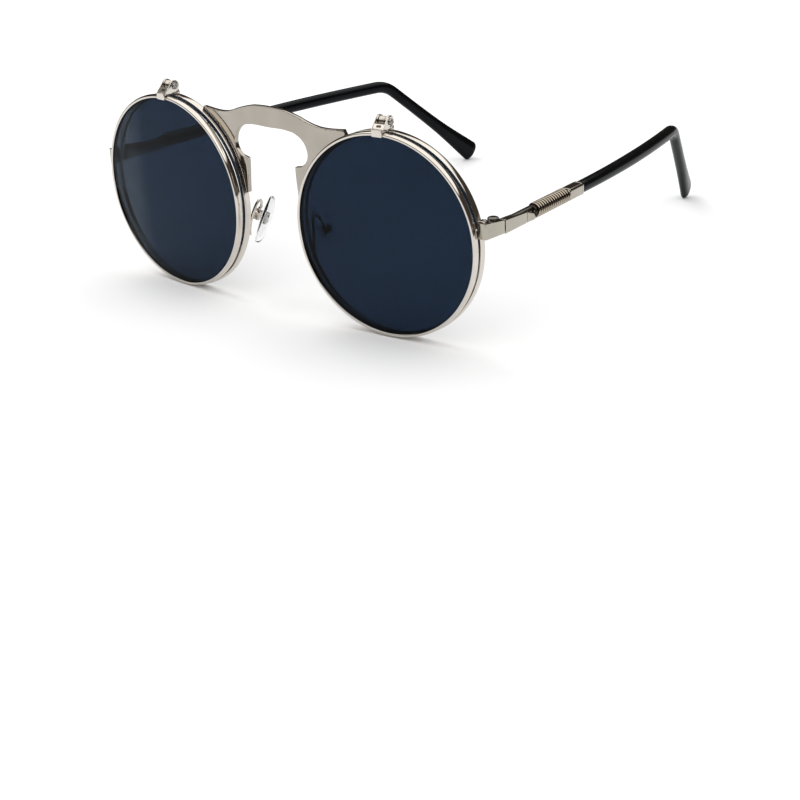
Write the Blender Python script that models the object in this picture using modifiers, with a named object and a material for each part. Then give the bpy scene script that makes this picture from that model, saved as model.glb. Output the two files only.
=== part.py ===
# Round flip-up sunglasses with coil-wound temples, standing open on a table.
# Metres, +Z up, +X to the wearer's left, the lenses face -Y.
# The origin is the middle of the footprint, on the table.

import math

import bmesh
import bpy
from mathutils import Matrix, Vector

# Front frame
RIM_SPACING = 0.019
FACE_WRAP = math.radians(5.0)
RIM_OUTER_RADIUS = 0.0255
RIM_FACE_WIDTH = 0.00085
RIM_EDGE_CHAMFER = 0.0002
MAIN_RIM_DEPTH = 0.0019
FLIP_RIM_DEPTH = 0.0018
GROOVE_DEPTH = 0.00045
GROOVE_MOUTH = 0.0010
GROOVE_FLOOR = 0.0005
RIM_SPLIT = 0.0004
RIM_STEPS = 48

# Lenses
LENS_THICKNESS = 0.0011
LENS_DOME = 0.0006
LENS_EDGE_THICKNESS = 0.0003
LENS_CLEARANCE = 0.00015
DOME_SHARES = (0.0, 0.5, 1.0)

# Clearances
BRAZE_GAP = 0.00015
RUNNING_GAP = 0.00015
CUT_OVERRUN = 0.001
MERGE_DISTANCE = 0.000001

# Bridge plate
PLATE_THICKNESS = 0.0012
PLATE_BEND_HALF_WIDTH = 0.012
PLATE_FACET = 0.003
ARM_TIP_REACH = 0.0230
ARM_TIP_HEIGHT = 0.0013
ARCH_RISE = 0.0030
KEYHOLE_HALF_WIDTH = 0.0119
KEYHOLE_HEIGHT = 0.0089
KEYHOLE_CROWN = 0.0051
HOOK_HALF_GAP = 0.0079
LOWER_ARM_LENGTH = 0.0093
LOWER_ARM_TIP_WIDTH = 0.0012
ARCH_SHARES = ((0.0, 1.0), (0.11, 0.985), (0.22, 0.915), (0.32, 0.75), (0.42, 0.53), (0.52, 0.24),
               (0.62, 0.02), (0.72, -0.09), (0.84, -0.09), (1.0, 0.0))
KEYHOLE_SHARES = ((0.0, 1.0), (0.16, 1.005), (0.34, 1.01), (0.52, 0.99), (0.68, 0.95), (0.82, 0.85),
                  (0.93, 0.70), (0.985, 0.53), (1.0, 0.38), (0.975, 0.24), (0.91, 0.12), (0.82, 0.045),
                  (0.71, 0.01))
LOWER_ARM_SHARES = ((0.0, 0.0), (0.0, 0.2), (0.25, 0.48), (0.5, 0.72), (0.62, 0.96))

# Flip hinge, on top of each rim
FLIP_PIN_RISE = 0.0022
FLIP_PIN_FORWARD = 0.0009
FLIP_PIN_RADIUS = 0.0005
FLIP_PIN_HEAD_RADIUS = 0.0008
FLIP_PIN_HEAD_LENGTH = 0.0003
FLIP_KNUCKLE_RADIUS = 0.0015
FLIP_HINGE_WIDTH = 0.0034
BASE_EAR_THICKNESS = 0.0004
BASE_PLATE_THICKNESS = 0.0004
BASE_PLATE_DEPTH = 0.0017
BASE_STOP_HEIGHT = 0.0009
BASE_STOP_THICKNESS = 0.00035
FLIP_EAR_THICKNESS = 0.0004
FLIP_FOOT_THICKNESS = 0.0006
FLIP_FOOT_DEPTH = 0.0017
FLIP_TAB_WIDTH = 0.0028
FLIP_TAB_THICKNESS = 0.0004
FLIP_TAB_DROP = 0.0009
FLIP_PLATE_INSET = 0.0004
FLIP_PLATE_LENGTH = 0.0013
FLIP_PLATE_THICKNESS = 0.0003
FLIP_PLATE_LEAN = math.radians(38.7)
FLIP_WINDOW_WIDTH = 0.0013
FLIP_WINDOW_HEIGHT = 0.0006
FLIP_WINDOW_SILL = 0.0004
EAR_MARGIN = 0.00008
FLIP_TILT = math.radians(1.2)
FLIP_BOTTOM_GAP = 0.00025
FLIP_RIM_LIFT = 0.00025
FLIP_SPRING_WIRE = 0.0003
FLIP_SPRING_RADIUS = 0.0010
FLIP_SPRING_PITCH = 0.00077
FLIP_SPRING_TURNS = 1.25
FLIP_SPRING_FRONT_LEG = 0.0012

# End pieces and rim locks
END_PIECE_BEYOND_RIM = 0.0021
END_PIECE_FLARE = 0.0008
END_PIECE_AHEAD_OF_RIM = 0.0019225
END_PIECE_LENGTH = 0.0065
END_PIECE_LEVEL = 0.0048
END_PIECE_THICKNESS = 0.0013
END_PIECE_FRONT_HEIGHT = 0.0038
END_PIECE_REAR_HEIGHT = 0.0031
END_PIECE_FRONT_LIFT = 0.0002
END_PIECE_CORNER_SHARE = 0.35
END_PIECE_EDGE = 0.00018
LOCK_DEPTH = 0.0018
LOCK_HEIGHT = 0.0042
LOCK_SCREW_RADIUS = 0.0003
LOCK_SCREW_HEAD_RADIUS = 0.0005
LOCK_SCREW_HEAD_HEIGHT = 0.0003

# Temple hinge
KNUCKLE_INSET = 0.0014
TEMPLE_JOINT_GAP = 0.00025
TEMPLE_KNUCKLE_RADIUS = 0.00145
MIDDLE_KNUCKLE_HEIGHT = 0.0012
OUTER_KNUCKLE_HEIGHT = 0.0009
HINGE_LEAF_THICKNESS = 0.0010
HINGE_LEAF_LENGTH = 0.0034
HINGE_SCREW_RADIUS = 0.0005
HINGE_SCREW_HEAD_RADIUS = 0.0011
HINGE_SCREW_HEAD_HEIGHT = 0.0005
SCREW_SLOT_WIDTH = 0.0003
SCREW_SLOT_DEPTH = 0.0002

# Temples
TEMPLE_SPLAY = math.radians(4.0)
TEMPLE_DROP = math.radians(1.1)
BAR_OUTER_OFFSET = 0.0024
BAR_THICKNESS = 0.0014
BAR_HEIGHT = 0.0031
BAR_FLAT_LENGTH = 0.0098
BAR_NECK_LENGTH = 0.0022
BAR_NECK_STEP = 0.00012
BAR_SHOULDER_LENGTH = 0.0010
CORE_RADIUS = 0.0011
CORE_TIP_RADIUS = 0.0007
CORE_TIP_DEPTH = 0.010
COIL_TURNS = 13
COIL_PITCH = 0.00105
COIL_WIRE = 0.0006
COIL_RADIUS = 0.0016
COIL_END_SHARE = 0.6
FERRULE_RADIUS = 0.0016
FERRULE_LENGTH = 0.0066
FERRULE_EDGE = 0.0002
TIP_SOCKET_OVERLAP = 0.0012
TIP_START_RADIUS = 0.00155
TIP_STRAIGHT_HALF_HEIGHT = 0.00172
TIP_STRAIGHT_HALF_THICKNESS = 0.0016
TIP_CURVE_SHIFT = 0.0051
TIP_BEND_DISTANCE = 0.0990
TIP_BEND_RADIUS = 0.0075
EAR_LENGTH = 0.0409
EAR_LEAN = math.radians(8.6)
EAR_ROLL = math.radians(-20.0)
EAR_HALF_HEIGHT = 0.00165
EAR_HALF_THICKNESS = 0.00145
PADDLE_HALF_HEIGHT = 0.0031
PADDLE_HALF_THICKNESS = 0.00135
PADDLE_CAP_LENGTH = 0.0016
PADDLE_CORNER_DEPTH = 0.0026
EAR_STATION_SHARES = ((0.12, 0.0), (0.3, 0.03), (0.48, 0.12), (0.62, 0.28), (0.76, 0.56), (0.88, 0.84))

# Nose pads and their arms
PAD_REACH = 0.0095
PAD_SETBACK = 0.00425
PAD_LEVEL = -0.0048
PAD_TILT = math.radians(25.5)
PAD_SPLAY = math.radians(25.0)
PAD_LENGTH_ABOVE = 0.0066
PAD_LENGTH_BELOW = 0.0078
PAD_HALF_WIDTH = 0.0037
PAD_HALF_THICKNESS = 0.00125
PAD_TOP_WIDTH_SHARE = 0.78
PAD_DISH = 0.0005
PAD_SCREW_OFFSET = 0.0026
PAD_POST_LENGTH = 0.0019
PAD_POST_DEPTH = 0.0011
PAD_POST_HEIGHT = 0.0014
PAD_BOX_HEIGHT = 0.0022
PAD_BOX_WALL = 0.00045
PAD_BOX_REACH = 0.0009
PAD_BOX_BACK = 0.0009
PAD_SCREW_RADIUS = 0.0003
PAD_SCREW_HEAD_RADIUS = 0.0006
PAD_SCREW_HEAD_HEIGHT = 0.0003
PAD_ARM_RADIUS = 0.0004
PAD_ARM_FOOT_LEVEL = -0.0081
ARM_ROUTE_SHARES = ((0.0, 0.0, 0.0), (-0.02, 0.0, 0.3), (-0.08, 0.1, 0.7), (-0.18, 0.25, 1.13),
                    (-0.27, 0.45, 1.47), (-0.34, 0.66, 1.64), (-0.33, 0.86, 1.5), (-0.18, 1.0, 1.24))

# Values that follow from the sizes above
RIM_INNER_RADIUS = RIM_OUTER_RADIUS - RIM_FACE_WIDTH
RIM_MID_RADIUS = RIM_OUTER_RADIUS - RIM_FACE_WIDTH / 2
LENS_HALF_SPACING = RIM_OUTER_RADIUS + RIM_SPACING / 2
FLIP_PIN_HEIGHT = RIM_OUTER_RADIUS + FLIP_PIN_RISE
FLIP_RIM_DROP = FLIP_PIN_HEIGHT - FLIP_RIM_LIFT
FLIP_RIM_FORWARD = FLIP_RIM_DEPTH / 2 + (
    MAIN_RIM_DEPTH / 2 + FLIP_BOTTOM_GAP - FLIP_PIN_FORWARD
    + (FLIP_RIM_DROP + RIM_OUTER_RADIUS) * math.sin(FLIP_TILT)) / math.cos(FLIP_TILT)
END_PIECE_CORNER_REACH = RIM_OUTER_RADIUS + END_PIECE_BEYOND_RIM
END_PIECE_REAR_REACH = END_PIECE_CORNER_REACH + END_PIECE_FLARE
END_PIECE_FRONT_SETBACK = RIM_OUTER_RADIUS * math.sin(FACE_WRAP) - END_PIECE_AHEAD_OF_RIM
END_PIECE_REAR_SETBACK = END_PIECE_FRONT_SETBACK + END_PIECE_LENGTH
TEMPLE_PIVOT_REACH = END_PIECE_REAR_REACH - BAR_OUTER_OFFSET
TEMPLE_PIVOT_SETBACK = END_PIECE_REAR_SETBACK - KNUCKLE_INSET
HINGE_LEVEL = RIM_OUTER_RADIUS + END_PIECE_LEVEL
BAR_FRONT = KNUCKLE_INSET + TEMPLE_JOINT_GAP
COIL_START = BAR_FRONT + BAR_FLAT_LENGTH + BAR_NECK_LENGTH + BAR_SHOULDER_LENGTH + RUNNING_GAP
COIL_LENGTH = COIL_TURNS * COIL_PITCH + 2 * (1 + COIL_END_SHARE) * COIL_WIRE
FERRULE_START = COIL_START + COIL_LENGTH + RUNNING_GAP
TIP_START = FERRULE_START + FERRULE_LENGTH + BRAZE_GAP

METAL = (0.72, 0.69, 0.65, 1.0)
BLACK = (0.012, 0.012, 0.014, 1.0)
TINT = (0.03, 0.045, 0.075, 1.0)
CLEAR = (0.9, 0.93, 0.94, 1.0)
SILICONE = (0.86, 0.89, 0.9, 1.0)


# Scene and material helpers

def clear_scene():
    for item in list(bpy.data.objects):
        bpy.data.objects.remove(item, do_unlink=True)


def make_material(name, colour, metallic, roughness, alpha=1.0):
    material = bpy.data.materials.new(name)
    material.use_nodes = True
    shader = material.node_tree.nodes["Principled BSDF"]
    shader.inputs["Base Color"].default_value = colour
    shader.inputs["Metallic"].default_value = metallic
    shader.inputs["Roughness"].default_value = roughness
    shader.inputs["Alpha"].default_value = alpha
    material.diffuse_color = colour
    return material


def make_empty(collection, name, location, rotation=(0.0, 0.0, 0.0), parent=None):
    empty = bpy.data.objects.new(name, None)
    empty.location = location
    empty.rotation_euler = rotation
    empty.parent = parent
    collection.objects.link(empty)
    return empty


def place(item, material, parent):
    item.data.materials.clear()
    item.data.materials.append(material)
    item.parent = parent
    return item


# Shape helpers

def mesh_object(name, mesh):
    item = bpy.data.objects.new(name, mesh)
    bpy.context.scene.collection.objects.link(item)
    return item


def from_bmesh(name, shape):
    bmesh.ops.recalc_face_normals(shape, faces=shape.faces)
    mesh = bpy.data.meshes.new(name)
    shape.to_mesh(mesh)
    shape.free()
    return mesh_object(name, mesh)


def box(name, low, high):
    shape = bmesh.new()
    low, high = Vector(low), Vector(high)
    size = high - low
    matrix = Matrix.Translation((low + high) / 2) @ Matrix.Diagonal((*size, 1.0))
    bmesh.ops.create_cube(shape, size=1.0, matrix=matrix)
    return from_bmesh(name, shape)


def rod(name, radius, start, end, segments=20):
    start, end = Vector(start), Vector(end)
    shape = bmesh.new()
    along = end - start
    matrix = Matrix.Translation((start + end) / 2) @ along.to_track_quat("Z", "Y").to_matrix().to_4x4()
    bmesh.ops.create_cone(shape, cap_ends=True, segments=segments, radius1=radius, radius2=radius,
                          depth=along.length, matrix=matrix)
    return from_bmesh(name, shape)


def turned(name, profile, steps, closed):
    """A profile of (radius, height) points turned round Z; its outer side runs from top to bottom."""
    shape = bmesh.new()
    points = [shape.verts.new((radius, 0.0, height)) for radius, height in profile]
    for first, second in zip(points, points[1:]):
        shape.edges.new((first, second))
    if closed:
        shape.edges.new((points[-1], points[0]))
    mesh = bpy.data.meshes.new(name)
    shape.to_mesh(mesh)
    shape.free()
    item = mesh_object(name, mesh)
    screw = item.modifiers.new("turn", "SCREW")
    screw.axis = "Z"
    screw.angle = 2 * math.pi
    screw.steps = steps
    screw.render_steps = steps
    screw.use_merge_vertices = True
    screw.merge_threshold = MERGE_DISTANCE
    return item


def tube(name, points, radius, resolution=1):
    """A round wire through the points, with filled ends, as a closed mesh."""
    curve = bpy.data.curves.new(name, "CURVE")
    curve.dimensions = "3D"
    curve.bevel_depth = radius
    curve.bevel_resolution = resolution
    curve.use_fill_caps = True
    spline = curve.splines.new("POLY")
    spline.points.add(len(points) - 1)
    for slot, point in zip(spline.points, points):
        slot.co = (*point, 1.0)
    guide = bpy.data.objects.new(name, curve)
    bpy.context.scene.collection.objects.link(guide)
    return mesh_from_curve(guide)


def flat_plate(name, outline, thickness):
    """A flat outline in the XY plane, thickened evenly to both sides along Z."""
    curve = bpy.data.curves.new(name, "CURVE")
    curve.dimensions = "2D"
    curve.fill_mode = "BOTH"
    curve.extrude = thickness / 2
    spline = curve.splines.new("POLY")
    spline.points.add(len(outline) - 1)
    for slot, (across, along) in zip(spline.points, outline):
        slot.co = (across, along, 0.0, 1.0)
    spline.use_cyclic_u = True
    guide = bpy.data.objects.new(name, curve)
    bpy.context.scene.collection.objects.link(guide)
    return mesh_from_curve(guide)


def slab(name, outline, thickness):
    """A flat outline in the XZ plane, thickened evenly to both sides along Y."""
    item = flat_plate(name, outline, thickness)
    item.data.transform(Matrix.Rotation(math.pi / 2, 4, "X"))
    return item


def mesh_from_curve(guide):
    bpy.context.view_layer.update()
    evaluated = guide.evaluated_get(bpy.context.evaluated_depsgraph_get())
    mesh = bpy.data.meshes.new_from_object(evaluated)
    name = guide.name
    item = bpy.data.objects.new(name, mesh)
    item.matrix_world = guide.matrix_world
    bpy.context.scene.collection.objects.link(item)
    bpy.data.objects.remove(guide, do_unlink=True)
    item.name = name
    shape = bmesh.new()
    shape.from_mesh(mesh)
    bmesh.ops.remove_doubles(shape, verts=shape.verts, dist=MERGE_DISTANCE)
    bmesh.ops.recalc_face_normals(shape, faces=shape.faces)
    shape.to_mesh(mesh)
    shape.free()
    return item


def loft(name, rings):
    """A closed skin over rings that all have the same number of points."""
    shape = bmesh.new()
    rows = [[shape.verts.new(point) for point in ring] for ring in rings]
    count = len(rows[0])
    for first, second in zip(rows, rows[1:]):
        for index in range(count):
            after = (index + 1) % count
            shape.faces.new((first[index], first[after], second[after], second[index]))
    shape.faces.new(rows[0])
    shape.faces.new(rows[-1])
    return from_bmesh(name, shape)


def section(centre, across, up, half_width, half_height, squareness, count=16):
    """One ring of a loft: an ellipse at squareness 0, a rounded rectangle towards 1."""
    power = 1.0 - 0.8 * squareness
    points = []
    for index in range(count):
        angle = 2 * math.pi * (index + 0.5) / count
        cosine, sine = math.cos(angle), math.sin(angle)
        wide = math.copysign(abs(cosine) ** power, cosine) * half_width
        high = math.copysign(abs(sine) ** power, sine) * half_height
        points.append(centre + across * wide + up * high)
    return points


def smooth_route(points, steps):
    """A smooth curve through the points, with the given number of steps between each pair."""
    points = [Vector(point) for point in points]
    ends = [2 * points[0] - points[1]] + points + [2 * points[-1] - points[-2]]
    route = []
    for before, start, end, after in zip(ends, ends[1:], ends[2:], ends[3:]):
        for step in range(steps):
            share = step / steps
            route.append(0.5 * (2 * start + (end - before) * share
                                + (2 * before - 5 * start + 4 * end - after) * share ** 2
                                + (3 * start - before - 3 * end + after) * share ** 3))
    return route + [points[-1]]


def settle(item, smooth_angle=math.radians(35.0)):
    """Replace the mesh by its evaluated form and shade its round faces smooth."""
    bpy.context.view_layer.update()
    evaluated = item.evaluated_get(bpy.context.evaluated_depsgraph_get())
    mesh = bpy.data.meshes.new_from_object(evaluated)
    item.modifiers.clear()
    item.data = mesh
    mesh.shade_smooth()
    mesh.set_sharp_from_angle(angle=smooth_angle)
    return item


def combine(item, others, operation):
    for other in others:
        change = item.modifiers.new(operation.lower(), "BOOLEAN")
        change.operation = operation
        change.solver = "EXACT"
        change.object = other
    settle(item)
    for other in others:
        bpy.data.objects.remove(other, do_unlink=True)
    return item


def cut(item, *cutters):
    return combine(item, cutters, "DIFFERENCE")


def join(item, *others):
    return combine(item, others, "UNION")


def round_edges(item, width, segments=1):
    bevel = item.modifiers.new("edges", "BEVEL")
    bevel.width = width
    bevel.segments = segments
    bevel.limit_method = "ANGLE"
    bevel.angle_limit = math.radians(40.0)
    return settle(item)


def turn_to_front(item):
    """Lay a turned piece's axis along Y, its height pointing to the front."""
    item.data.transform(Matrix.Rotation(math.pi / 2, 4, "X"))
    return item


# Rims and lenses

def rim_profile(depth):
    half = depth / 2
    mouth = GROOVE_MOUTH / 2
    floor = GROOVE_FLOOR / 2
    chamfer = RIM_EDGE_CHAMFER
    groove_radius = RIM_INNER_RADIUS + GROOVE_DEPTH
    return [
        (RIM_OUTER_RADIUS - chamfer, half),
        (RIM_OUTER_RADIUS, half - chamfer),
        (RIM_OUTER_RADIUS, chamfer - half),
        (RIM_OUTER_RADIUS - chamfer, -half),
        (RIM_INNER_RADIUS, -half),
        (RIM_INNER_RADIUS, -mouth),
        (groove_radius, -floor),
        (groove_radius, floor),
        (RIM_INNER_RADIUS, mouth),
        (RIM_INNER_RADIUS, half),
    ]


def make_rim(name, depth, split_low, split_high):
    rim = settle(turned(name, rim_profile(depth), RIM_STEPS, closed=True))
    turn_to_front(rim)
    return cut(rim, box("rim_split", split_low, split_high))


def lens_profile():
    body_radius = RIM_INNER_RADIUS - LENS_CLEARANCE
    edge_radius = RIM_INNER_RADIUS + GROOVE_DEPTH - LENS_CLEARANCE
    half = LENS_THICKNESS / 2
    dome = [(share * body_radius, LENS_DOME * (1 - share ** 2)) for share in DOME_SHARES]
    front = [(radius, height + half) for radius, height in dome]
    back = [(radius, height - half) for radius, height in reversed(dome)]
    edge = [(edge_radius, LENS_EDGE_THICKNESS / 2), (edge_radius, -LENS_EDGE_THICKNESS / 2)]
    return front + edge + back


def make_lens(name):
    lens = settle(turned(name, lens_profile(), RIM_STEPS, closed=False))
    return turn_to_front(lens)


# Bridge plate, stamped flat and bent to meet both lens planes

def bent_place(flat, offset):
    """Where a point of the flat pattern lies in plan, offset towards the back."""
    side = math.copysign(1.0, flat)
    turn = FACE_WRAP * min(abs(flat) / PLATE_BEND_HALF_WIDTH, 1.0)
    radius = PLATE_BEND_HALF_WIDTH / FACE_WRAP
    straight = max(abs(flat) - PLATE_BEND_HALF_WIDTH, 0.0)
    along = radius * math.sin(turn) + straight * math.cos(FACE_WRAP)
    back = radius * (1 - math.cos(turn)) + straight * math.sin(FACE_WRAP)
    return side * (along - offset * math.sin(turn)), back + offset * math.cos(turn)


def flat_lens_centre():
    """The lens centre's place across the flat pattern of the plate."""
    radius = PLATE_BEND_HALF_WIDTH / FACE_WRAP
    bent = radius * math.sin(FACE_WRAP)
    return PLATE_BEND_HALF_WIDTH + (LENS_HALF_SPACING - bent) / math.cos(FACE_WRAP)


def plate_forward():
    """How far the middle of the plate lies in front of the lens centres."""
    radius = PLATE_BEND_HALF_WIDTH / FACE_WRAP
    straight = flat_lens_centre() - PLATE_BEND_HALF_WIDTH
    return radius * (1 - math.cos(FACE_WRAP)) + straight * math.sin(FACE_WRAP)


def bridge_outline():
    """The right-hand half of the plate, from the top of the arch round to the keyhole's top."""
    centre = flat_lens_centre()
    seat = RIM_OUTER_RADIUS + BRAZE_GAP
    tip_across = centre - ARM_TIP_REACH
    tip_up = math.sqrt((seat + ARM_TIP_HEIGHT) ** 2 - tip_across ** 2)
    keyhole_top = tip_up + ARCH_RISE - KEYHOLE_CROWN
    hook_up = keyhole_top - KEYHOLE_HEIGHT
    arm_end_up = hook_up - LOWER_ARM_LENGTH
    top = [(share * ARM_TIP_REACH, tip_up + rise * ARCH_RISE) for share, rise in ARCH_SHARES]
    start = math.atan2(tip_up, -tip_across)
    arm_end = math.pi - math.asin(arm_end_up / seat)
    steps = 12
    arc = []
    for step in range(steps + 1):
        angle = start + (arm_end - start) * step / steps
        arc.append((centre + seat * math.cos(angle), seat * math.sin(angle)))
    arm_root = arc[-1][0] - LOWER_ARM_TIP_WIDTH
    spread = arm_root - HOOK_HALF_GAP
    arm = [(HOOK_HALF_GAP + across * spread, hook_up - down * LOWER_ARM_LENGTH)
           for across, down in reversed(LOWER_ARM_SHARES)]
    keyhole = [(across * KEYHOLE_HALF_WIDTH, hook_up + up * KEYHOLE_HEIGHT)
               for across, up in reversed(KEYHOLE_SHARES)]
    return top + arc + arm + keyhole


def make_bridge():
    half = bridge_outline()
    outline = half + [(-across, up) for across, up in reversed(half[1:-1])]
    plate = slab("bridge_plate", outline, PLATE_THICKNESS)
    shape = bmesh.new()
    shape.from_mesh(plate.data)
    reach = int(PLATE_BEND_HALF_WIDTH / PLATE_FACET)
    for index in range(-reach, reach + 1):
        geometry = shape.verts[:] + shape.edges[:] + shape.faces[:]
        bmesh.ops.bisect_plane(shape, geom=geometry, dist=MERGE_DISTANCE,
                               plane_co=(index * PLATE_FACET, 0.0, 0.0), plane_no=(1.0, 0.0, 0.0))
    for vert in shape.verts:
        vert.co.x, vert.co.y = bent_place(vert.co.x, vert.co.y)
    bmesh.ops.triangulate(shape, faces=shape.faces)
    shape.to_mesh(plate.data)
    shape.free()
    plate.data.transform(Matrix.Translation((0.0, -plate_forward(), RIM_OUTER_RADIUS)))
    return settle(plate)


# Flip hinge

def ear_outline(pin, foot_low, foot_high):
    """A round ear about the pin, drawn out to a straight foot, as (y, z) points."""
    points = [Vector(point) for point in foot_low + foot_high]
    for index in range(24):
        angle = 2 * math.pi * index / 24
        points.append(Vector(pin) + FLIP_KNUCKLE_RADIUS * Vector((math.cos(angle), math.sin(angle))))
    return convex_outline(points)


def convex_outline(points):
    """The points that a taut string round them all would touch, in order."""
    points = sorted(points, key=lambda point: (point.x, point.y))
    rows = []
    for run in (points, points[::-1]):
        row = []
        for point in run:
            while len(row) > 1 and (row[-1] - row[-2]).cross(point - row[-2]) <= 0:
                row.pop()
            row.append(point)
        rows += row[:-1]
    return [(point.x, point.y) for point in rows]


def ear_pair(name, outline, inner, thickness):
    """Two flat ears, mirrored about the middle of the hinge, as one or two bodies."""
    ears = []
    for side in (1, -1):
        ear = slab(f"{name}_{side}", outline, thickness)
        ear.data.transform(Matrix.Rotation(math.pi / 2, 4, "Z"))
        ear.data.transform(Matrix.Translation((side * (inner + thickness / 2), 0.0, 0.0)))
        ears.append(ear)
    return ears


def base_ear_outer():
    return FLIP_HINGE_WIDTH / 2 - FLIP_EAR_THICKNESS - RUNNING_GAP


def make_flip_base(name):
    """The bracket on the main rim, in the lens plane's frame: a plate with two ears and a rear stop."""
    half = FLIP_HINGE_WIDTH / 2
    bottom = RIM_OUTER_RADIUS + BRAZE_GAP
    depth = BASE_PLATE_DEPTH / 2
    top = bottom + BASE_PLATE_THICKNESS
    base = box(name, (-half, EAR_MARGIN - depth, bottom + EAR_MARGIN), (half, depth - EAR_MARGIN, top))
    pin = (-FLIP_PIN_FORWARD, FLIP_PIN_HEIGHT)
    outline = ear_outline(pin, [(-depth, bottom), (depth, bottom)], [(depth, top)])
    ears = ear_pair("base_ear", outline, base_ear_outer() - BASE_EAR_THICKNESS, BASE_EAR_THICKNESS)
    stop_back = depth - 2 * EAR_MARGIN
    stop = box("base_stop", (EAR_MARGIN - half, stop_back - BASE_STOP_THICKNESS, bottom + 2 * EAR_MARGIN),
               (half - EAR_MARGIN, stop_back, bottom + BASE_STOP_HEIGHT))
    join(base, *ears, stop)
    bore = rod("pin_bore", FLIP_PIN_RADIUS + RUNNING_GAP,
               (-half - CUT_OVERRUN, *pin), (half + CUT_OVERRUN, *pin))
    return cut(base, bore)


def make_flip_pin(name):
    """The pin with a domed head at each end, in the flip's frame, whose origin is the pin's middle."""
    end = FLIP_HINGE_WIDTH / 2 + BRAZE_GAP
    cap = end + FLIP_PIN_HEAD_LENGTH
    bulge = (FLIP_PIN_HEAD_RADIUS + FLIP_PIN_RADIUS) / 2
    half = [(0.0, cap), (bulge, cap - FLIP_PIN_HEAD_LENGTH / 4), (FLIP_PIN_HEAD_RADIUS, end),
            (FLIP_PIN_RADIUS, end)]
    profile = half + [(radius, -height) for radius, height in reversed(half)]
    pin = settle(turned(name, profile, 20, closed=False))
    pin.data.transform(Matrix.Rotation(math.pi / 2, 4, "Y"))
    return pin


def flip_foot_top():
    return RIM_OUTER_RADIUS - FLIP_RIM_DROP + BRAZE_GAP + FLIP_FOOT_THICKNESS


def window_plate(half, front, top):
    """The plate that leans from the yoke's foot up towards the barrel, with a window in it."""
    thick = FLIP_PLATE_THICKNESS / 2
    plate = box("window_plate", (-half, -thick, 0.0), (half, thick, FLIP_PLATE_LENGTH))
    window = FLIP_WINDOW_WIDTH / 2
    cut(plate, box("window", (-window, -CUT_OVERRUN, FLIP_WINDOW_SILL),
                   (window, CUT_OVERRUN, FLIP_WINDOW_SILL + FLIP_WINDOW_HEIGHT)))
    lean = Matrix.Rotation(-FLIP_PLATE_LEAN, 4, "X")
    plate.data.transform(Matrix.Translation((0.0, front + FLIP_PLATE_INSET, top - EAR_MARGIN)) @ lean)
    return plate


def make_flip_bracket(name):
    """The yoke on the flip rim, in the flip's frame."""
    outer = FLIP_HINGE_WIDTH / 2
    top = flip_foot_top()
    bottom = top - FLIP_FOOT_THICKNESS
    front = -FLIP_RIM_FORWARD - FLIP_FOOT_DEPTH / 2
    back = -FLIP_RIM_FORWARD + FLIP_FOOT_DEPTH / 2
    half = outer - EAR_MARGIN
    foot = box(name, (-half, front + EAR_MARGIN, bottom + EAR_MARGIN), (half, back - EAR_MARGIN, top))
    outline = ear_outline((0.0, 0.0), [(front, bottom), (back, bottom)], [(front, top)])
    ears = ear_pair("flip_ear", outline, outer - FLIP_EAR_THICKNESS, FLIP_EAR_THICKNESS)
    plate = window_plate(half - EAR_MARGIN, front, top)
    face = -FLIP_RIM_FORWARD - FLIP_RIM_DEPTH / 2 - BRAZE_GAP
    tab_front = face - FLIP_TAB_THICKNESS
    tab_half = FLIP_TAB_WIDTH / 2
    tab = box("front_tab", (-tab_half, tab_front, bottom - BRAZE_GAP - FLIP_TAB_DROP),
              (tab_half, face, top - EAR_MARGIN))
    lip = box("tab_lip", (EAR_MARGIN - tab_half, tab_front + EAR_MARGIN, bottom + 2 * EAR_MARGIN),
              (tab_half - EAR_MARGIN, front + 2 * EAR_MARGIN, top - 2 * EAR_MARGIN))
    join(foot, *ears, plate, tab, lip)
    bore = rod("pin_bore", FLIP_PIN_RADIUS + RUNNING_GAP,
               (-outer - CUT_OVERRUN, 0.0, 0.0), (outer + CUT_OVERRUN, 0.0, 0.0))
    return cut(foot, bore)


def helix(turns, pitch, radius, start_angle, points_per_turn=10):
    """Points of a helix about X, centred on the origin."""
    count = round(turns * points_per_turn)
    points = []
    for index in range(count + 1):
        turn = index / points_per_turn
        angle = start_angle + 2 * math.pi * turn
        along = pitch * (turn - turns / 2)
        points.append(Vector((along, radius * math.cos(angle), radius * math.sin(angle))))
    return points


def least_self_gap(points, wire, skip):
    """The least clear distance between stretches of a wire that are more than skip points apart."""
    least = math.inf
    for first in range(len(points)):
        for second in range(first + skip, len(points)):
            least = min(least, (points[first] - points[second]).length)
    return least - wire


def straight_run(start, end, steps):
    """Evenly spaced points from start to just before end."""
    return [start.lerp(end, step / steps) for step in range(steps)]


def make_flip_spring(name):
    """A torsion spring round the pin: one leg stands on the base plate, one points over the yoke."""
    points_per_turn = 8
    coil = helix(FLIP_SPRING_TURNS, FLIP_SPRING_PITCH, FLIP_SPRING_RADIUS, 0.0, points_per_turn)
    leg_length = FLIP_PIN_RISE - BRAZE_GAP - BASE_PLATE_THICKNESS - RUNNING_GAP
    foot = coil[0] - Vector((0.0, 0.0, leg_length))
    front = coil[-1] - Vector((0.0, FLIP_SPRING_FRONT_LEG, 0.0))
    rear_leg = straight_run(foot, coil[0], 3)
    front_leg = straight_run(front, coil[-1], 3)
    points = rear_leg + coil + front_leg[::-1]
    gap = least_self_gap(points, FLIP_SPRING_WIRE, points_per_turn // 2 + 1)
    print(f"{name}: least gap to itself {gap * 1000:.3f} mm")
    return settle(tube(name, points, FLIP_SPRING_WIRE / 2))


# Rim lock and end piece, in the lens-centre frame of plan coordinates

def side_place(side, reach, setback, level):
    """A point given outward from the lens centre, back from it and up from it."""
    return Vector((side * (LENS_HALF_SPACING + reach), setback, RIM_OUTER_RADIUS + level))


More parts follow.
